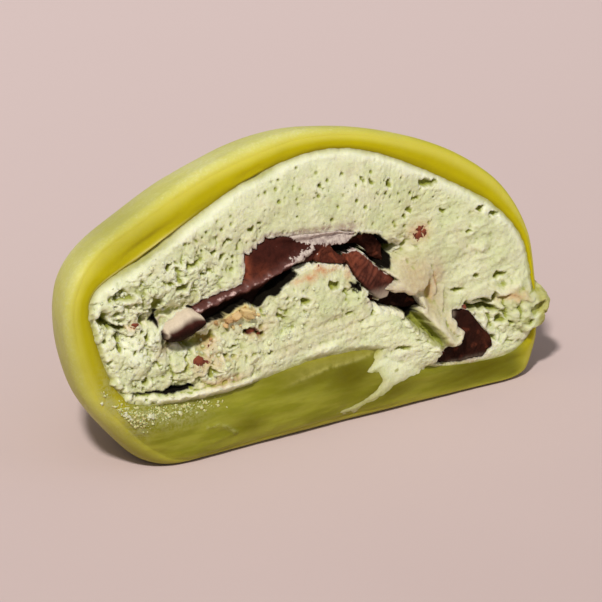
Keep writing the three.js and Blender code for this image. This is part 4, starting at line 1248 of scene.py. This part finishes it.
class Finish:
    """A material on the Principled shader, built up node by node."""

    def __init__(self, name, **constants):
        self.material = bpy.data.materials.new(name)
        self.material.use_nodes = True
        self.tree = self.material.node_tree
        self.shader = self.tree.nodes["Principled BSDF"]
        self.wear(**constants)
        self.place = self.add("TexCoord", output="Object")

    def add(self, kind, settings=None, inputs=None, output=0):
        """Adds a node: its settings first, then values or links by socket name or number."""
        node = self.tree.nodes.new("ShaderNode" + kind)
        for key, value in (settings or {}).items():
            setattr(node, key, value)
        for key, value in (inputs or {}).items():
            self.feed(node.inputs[key], value)
        return Value(self, node.outputs[output])

    def feed(self, socket, value):
        """Links a shader value to a socket, or sets any other value on it."""
        if isinstance(value, Value):
            self.tree.links.new(value.socket, socket)
        else:
            socket.default_value = value

    def mask(self, name):
        """A point attribute of the mesh, 0 where the mesh has none of that name."""
        return self.add("Attribute", {"attribute_name": name}, output="Fac")

    def grain(self, size, detail=2.0, rough=0.5, stretch=(1, 1, 1)):
        """Noise of about 0 to 1 whose humps are about size millimetres wide."""
        place = self.add("Mapping", {}, {"Vector": self.place, "Scale": stretch})
        inputs = {"Vector": place, "Scale": 1 / (size * MM), "Detail": detail, "Roughness": rough}
        return self.add("TexNoise", {}, inputs)

    def mix(self, share, first, second):
        """One colour into another, by a share. A colour is a shader value or (red, green, blue)
        of 0 to 255 on a screen."""
        first, second = (c if isinstance(c, Value) else srgb(*c) for c in (first, second))
        return self.add("Mix", {"data_type": "RGBA"}, {0: share, 6: first, 7: second}, output=2)

    def coated(self, colour, *coats):
        """A colour under coats laid one after another, each a share and a colour of its own."""
        for share, coat in coats:
            colour = self.mix(share, colour, coat)
        return colour

    def bumps(self, *heights):
        """Bump nodes one over another, each from a height and a depth in millimetres."""
        under = {}
        for height, depth in heights:
            inputs = {"Height": height, "Distance": depth * MM, "Strength": 1.0}
            under = {"Normal": self.add("Bump", {}, inputs | under)}
        return under["Normal"]

    def wear(self, **inputs):
        """Feeds the shader's own inputs, named with _ for a space, and gives the material."""
        for socket, value in inputs.items():
            self.feed(self.shader.inputs[socket.replace("_", " ")], value)
        return self.material


def rice_skin():
    """Soft rice dough: pale and starchy outside, deep yellow and moist where it is cut. Painted shade
    darkens the left flank, the outside towards the base and parts of the fold, and a painted
    highlight runs along the inner lip.
    """
    f = Finish(
        "rice_skin", Subsurface_Weight=0.4, Subsurface_Radius=(1.0, 0.85, 0.15), Subsurface_Scale=2.2 * MM,
        Specular_IOR_Level=0.2, Specular_Tint=(1, 0.95, 0.38, 1), Coat_Roughness=0.25, Coat_IOR=1.4,
        Coat_Tint=(1, 0.97, 0.5, 1),
    )
    cut, fold, deep, starch = map(f.mask, ("cut", "fold", "deep", "starch"))
    cloud, fine, powder = f.grain(9, 3), f.grain(1.1, 4, 0.6), f.grain(0.5, 3, 0.7)
    streak = f.grain(2.2, 3, 0.6, (0.25, 1, 1.6))
    wall = f.coated(
        f.mix(cloud.between(0.35, 0.68), (200, 196, 104), (209, 205, 124)),
        ((cloud * 0.3 + powder * 0.9).between(0.56, 0.8) * 0.4, (222, 221, 172)),
        (f.mask("right") * 0.9, (192, 182, 26)),
        (cut.between(0.02, 0.3), (208, 198, 78)),
        (cut.between(0.3, 0.62), (188, 175, 4)),
        (cut.between(0.7, 0.95), (166, 152, 0)),
        # left: painted shade on the left flank.
        (f.mask("left") * (1 - cut * 0.4), (146, 140, 40)),
        # low: painted shade on the outside towards the base.
        (f.mask("low") * 0.8, (136, 130, 34)),
        # pale: a painted highlight along the inner lip.
        (f.mask("pale"), (216, 206, 128)),
    )
    lobe = f.coated(
        f.mix(streak.between(0.35, 0.65), (130, 130, 30), (150, 148, 52)),
        # deep: the fold's thicker colour, partly painted shade under the cream, the flap and at the lower
        # right.
        (deep, (96, 90, 0)),
        (f.mask("film") * (fine * 0.7 + 0.05), (170, 164, 84)),
        (f.mask("line") * fine.between(0.3, 0.6) * 0.5, (200, 194, 116)),
    )
    speckle = starch * (powder + fine * 0.4).between(0.55, 0.8)
    colour = f.coated(wall, (fold, lobe), (starch * 0.55, (118, 116, 44)), (speckle * 0.6, (182, 180, 128)))
    return f.wear(
        Base_Color=colour,
        Roughness=f.grain(2.2, 2) * 0.16 + 0.42 + speckle * 0.3 - fold * 0.1,
        Coat_Weight=cut * (1 - speckle) * 0.25,
        Normal=f.bumps((f.grain(3.0, 3), 0.25), (powder * (0.4 + starch), 0.07)),
    )


def whipped_cream():
    """Whipped cream with tea: matt and porous, greener where light is caught in a pit, painted as
    shade in its pits and hollows. The tops of its lumps carry a painted highlight, and painted
    shade lies nearly black in its holes and round the chocolate.
    """
    f = Finish(
        "cream", Subsurface_Weight=0.45, Subsurface_Radius=(1.0, 0.95, 0.45), Subsurface_Scale=0.9 * MM,
        Specular_IOR_Level=0.12,
    )
    hollowed, sunk, torn, green, dark = map(f.mask, ("hollowed", "sunk", "torn", "green", "dark"))
    fine, grit, cloud = f.grain(0.6, 4, 0.65), f.grain(0.22, 3, 0.6), f.grain(4, 3)
    # The nut patch: tan, darker amber with fine noise and, as painted shade, in its hollows.
    amber = f.mix((fine + hollowed).between(0.35, 0.7), (226, 208, 146), (186, 140, 66))
    rime = f.mask("frost") * (fine * 0.8 + grit * 0.6).between(0.35, 0.8)
    colour = f.coated(
        f.mix(cloud.between(0.35, 0.65), (213, 218, 170), (226, 227, 187)),
        (f.grain(2.4, 3).between(0.52, 0.68) * 0.3, (214, 198, 164)),
        (fine.between(0.5, 0.72) * 0.4, (192, 196, 132)),
        # Painted highlight on the tops of lumps that stand above the blurred cream.
        ((0 - hollowed).between(0.02, 0.25) * 0.75, (240, 240, 212)),
        (f.mask("white") * 0.75, (246, 248, 222)),
        (f.mask("beige") * (fine * 0.8 + 0.5) * 0.9, (190, 168, 132)),
        # Painted shade, greener, in hollows and pits and along holes, cracks and open room.
        ((hollowed * 2.4 + sunk * 0.5).between(0.05, 0.7) * 0.9, (160, 168, 70)),
        (green * 0.75, (146, 148, 54)),
        # Orange-brown stains, and two painted shadows under the curl and right of the lip.
        (f.mask("orange_and_shadow") * (fine + grit).between(0.4, 1.2), (208, 150, 106)),
        (f.mask("dust") * (grit * 0.5 + 0.2), (190, 188, 130)),
        (f.mask("nut"), amber),
        ((f.mask("brown") + (fine - 0.5) * 1.6).between(0.45, 0.62), (112, 56, 40)),
        (f.mask("mauve") * fine.between(0.25, 0.55), (170, 146, 130)),
        (f.mask("fringe") * fine.between(0.3, 0.6) * 0.5, (186, 170, 146)),
        (rime * 0.85, (206, 194, 180)),
        (grit.between(0.64, 0.76) * 0.3, (158, 164, 84)),
        (f.mask("thin") * (1.1 - fine * 0.6), (172, 168, 84)),
        # dark: painted shade, nearly black.
        (dark, (14, 9, 3)),
    )
    rough = 0.6 + torn * 0.1 + dark * 0.4
    return f.wear(Base_Color=colour, Roughness=rough, Normal=f.bumps((fine, 0.16), (grit, 0.08)))


def chocolate():
    """Broken chocolate: dark and dull, redder on a fresh split, grey where bloom lies. Shade, sheen
    and glints are painted into its colour.
    """
    f = Finish(
        "chocolate", Specular_IOR_Level=0.1, Specular_Tint=(1, 0.82, 0.76, 1), Coat_Roughness=0.3,
        Coat_IOR=1.45,
    )
    bloom, red, shine, black = map(f.mask, ("bloom", "red", "shine", "black"))
    fine, grit, teeth = f.grain(0.7, 4, 0.65), f.grain(0.25, 3, 0.6), f.grain(0.42, 2, 0.5)
    # Painted sheen and painted glints along the glossy ridge.
    painted_glint = (shine * 0.6 + f.grain(1.3, 2) * 0.5 + fine * 0.45 + grit * 0.25).between(1.16, 1.34)
    # frost: grey bloom, and on the slab's high edge a painted highlight.
    frost = (bloom + (teeth - 0.5) * 1.4 + (fine - 0.5) * 0.8).between(0.42, 0.62)
    colour = f.coated(
        f.mix(fine.between(0.3, 0.7), (54, 22, 15), (70, 30, 22)),
        (red * fine.between(0.2, 0.6), (138, 70, 46)),
        # black: painted shade, nearly black, where the break turns under or lies back.
        (black, (20, 7, 2)),
        (shine * 0.5, (124, 80, 72)),
        (painted_glint * 0.85, (222, 190, 182)),
        # pale: painted light on the curl's top and rim, a paler lower end on the slab, smeared cream on the
        # wedge.
        (f.mask("pale"), f.mix(grit, (198, 180, 156), (224, 208, 184))),
        (frost * (grit * 0.5 + 0.6), f.mix(fine.between(0.3, 0.65), (166, 148, 142), (222, 208, 194))),
    )
    return f.wear(
        Base_Color=colour,
        Roughness=0.5 + frost * 0.35 - shine * 0.15 + black * 0.45,
        Coat_Weight=(0.05 + shine * 0.5) * (1 - frost),
        Normal=f.bumps((fine, 0.14), (grit, 0.06)),
    )


def nut():
    """Roasted nut grains: tan with browner skins."""
    f = Finish("nut", Subsurface_Weight=0.2, Subsurface_Radius=(1.0, 0.7, 0.4), Subsurface_Scale=0.4 * MM)
    fine = f.grain(0.5, 3)
    colour = f.mix(f.mask("tone"), (216, 194, 134), (168, 104, 56))
    colour = f.mix(fine.between(0.5, 0.75) * 0.6, colour, (150, 100, 50))
    return f.wear(Base_Color=colour, Roughness=0.6, Normal=f.bumps((fine, 0.16)))


def starch():
    """Dry starch, white with a little of the skin's green."""
    f = Finish(
        "starch", Roughness=0.9, Specular_IOR_Level=0.1, Subsurface_Weight=0.2, Subsurface_Scale=0.3 * MM,
    )
    return f.wear(Base_Color=f.mix(f.grain(1.5, 2), (180, 178, 108), (214, 212, 166)))


def stone_floor():
    """Pale pink stone, painted darker in front and a little lighter towards the back as shading."""
    f = Finish("floor", Roughness=0.85, Specular_IOR_Level=0.2)
    far = f.add("SeparateXYZ", {}, {0: f.place}, output="Y").between(-0.25, 0.3)
    colour = f.mix(far, (189, 168, 163), (221, 200, 197))
    return f.wear(Base_Color=f.mix(f.grain(60, 3) * 0.3, colour, (214, 193, 189)))


# ------------ the stage

def aimed(name, data, at, gaze):
    """An object placed in metres that looks along the gaze, upright."""
    thing = bpy.data.objects.new(name, data)
    thing.location = at
    thing.rotation_mode = "QUATERNION"
    thing.rotation_quaternion = gaze.to_track_quat("-Z", "Y")
    bpy.context.scene.collection.objects.link(thing)
    return thing


def make_stage():
    """A pale floor, a soft key light from the upper left in front, a weak fill and the camera."""
    scene = bpy.context.scene
    floor = bpy.data.meshes.new("floor")
    corners = [(x * FLOOR_REACH, y * FLOOR_REACH, 0) for x, y in ((-1, -1), (1, -1), (1, 1), (-1, 1))]
    floor.from_pydata(corners, [], [(0, 1, 2, 3)])
    plane = bpy.data.objects.new("floor", floor)
    scene.collection.objects.link(plane)
    floor.materials.append(stone_floor())

    for name, at, power, size, colour in LAMPS:
        data = bpy.data.lights.new(name, "AREA")
        data.energy, data.size, data.color = power, size, colour
        aimed(name, data, at, Vector(LAMP_AIM) - Vector(at))
    world = bpy.data.worlds.new("air")
    scene.world = world
    world.use_nodes = True
    world.node_tree.nodes["Background"].inputs["Color"].default_value = AIR_COLOUR
    world.node_tree.nodes["Background"].inputs["Strength"].default_value = AIR_STRENGTH

    data = bpy.data.cameras.new("camera")
    data.lens, data.sensor_width = CAMERA_LENS, 36
    at = Vector(CAMERA_AT)
    scene.camera = aimed("camera", data, at * MM, Vector(CAMERA_AIM) - at)
    scene.view_settings.view_transform = "Standard"


# ------------ making it

make_stage()
brown, cream_look = chocolate(), whipped_cream()
make_skin(rice_skin())
make_cream(cream_look)
for number, (node, shape) in enumerate(CHOCOLATE.items()):
    make_plank(node, shape, FRONTS[node], 100 + 3 * number, brown)
make_crumbs(cream_look)
make_powder(starch())
nut_x, nut_y, nut_size, nut_tone = np.array(NUTS).T
make_lumps(
    "nut_grains", on_cream(nut_x, nut_y, 0.3), nut_size, "cream", nut(), 8,
    rows=18, sides=32, facets=7, tone=nut_tone,
)
flake_x, flake_y, flake_size = np.array(FLAKES).T
make_lumps(
    "choc_flakes", on_cream(flake_x, flake_y, -0.2), flake_size, "chocolate", brown, 9,
    rows=12, sides=20, facets=3, squat=0.4, red=1.4, shine=0.2,
)
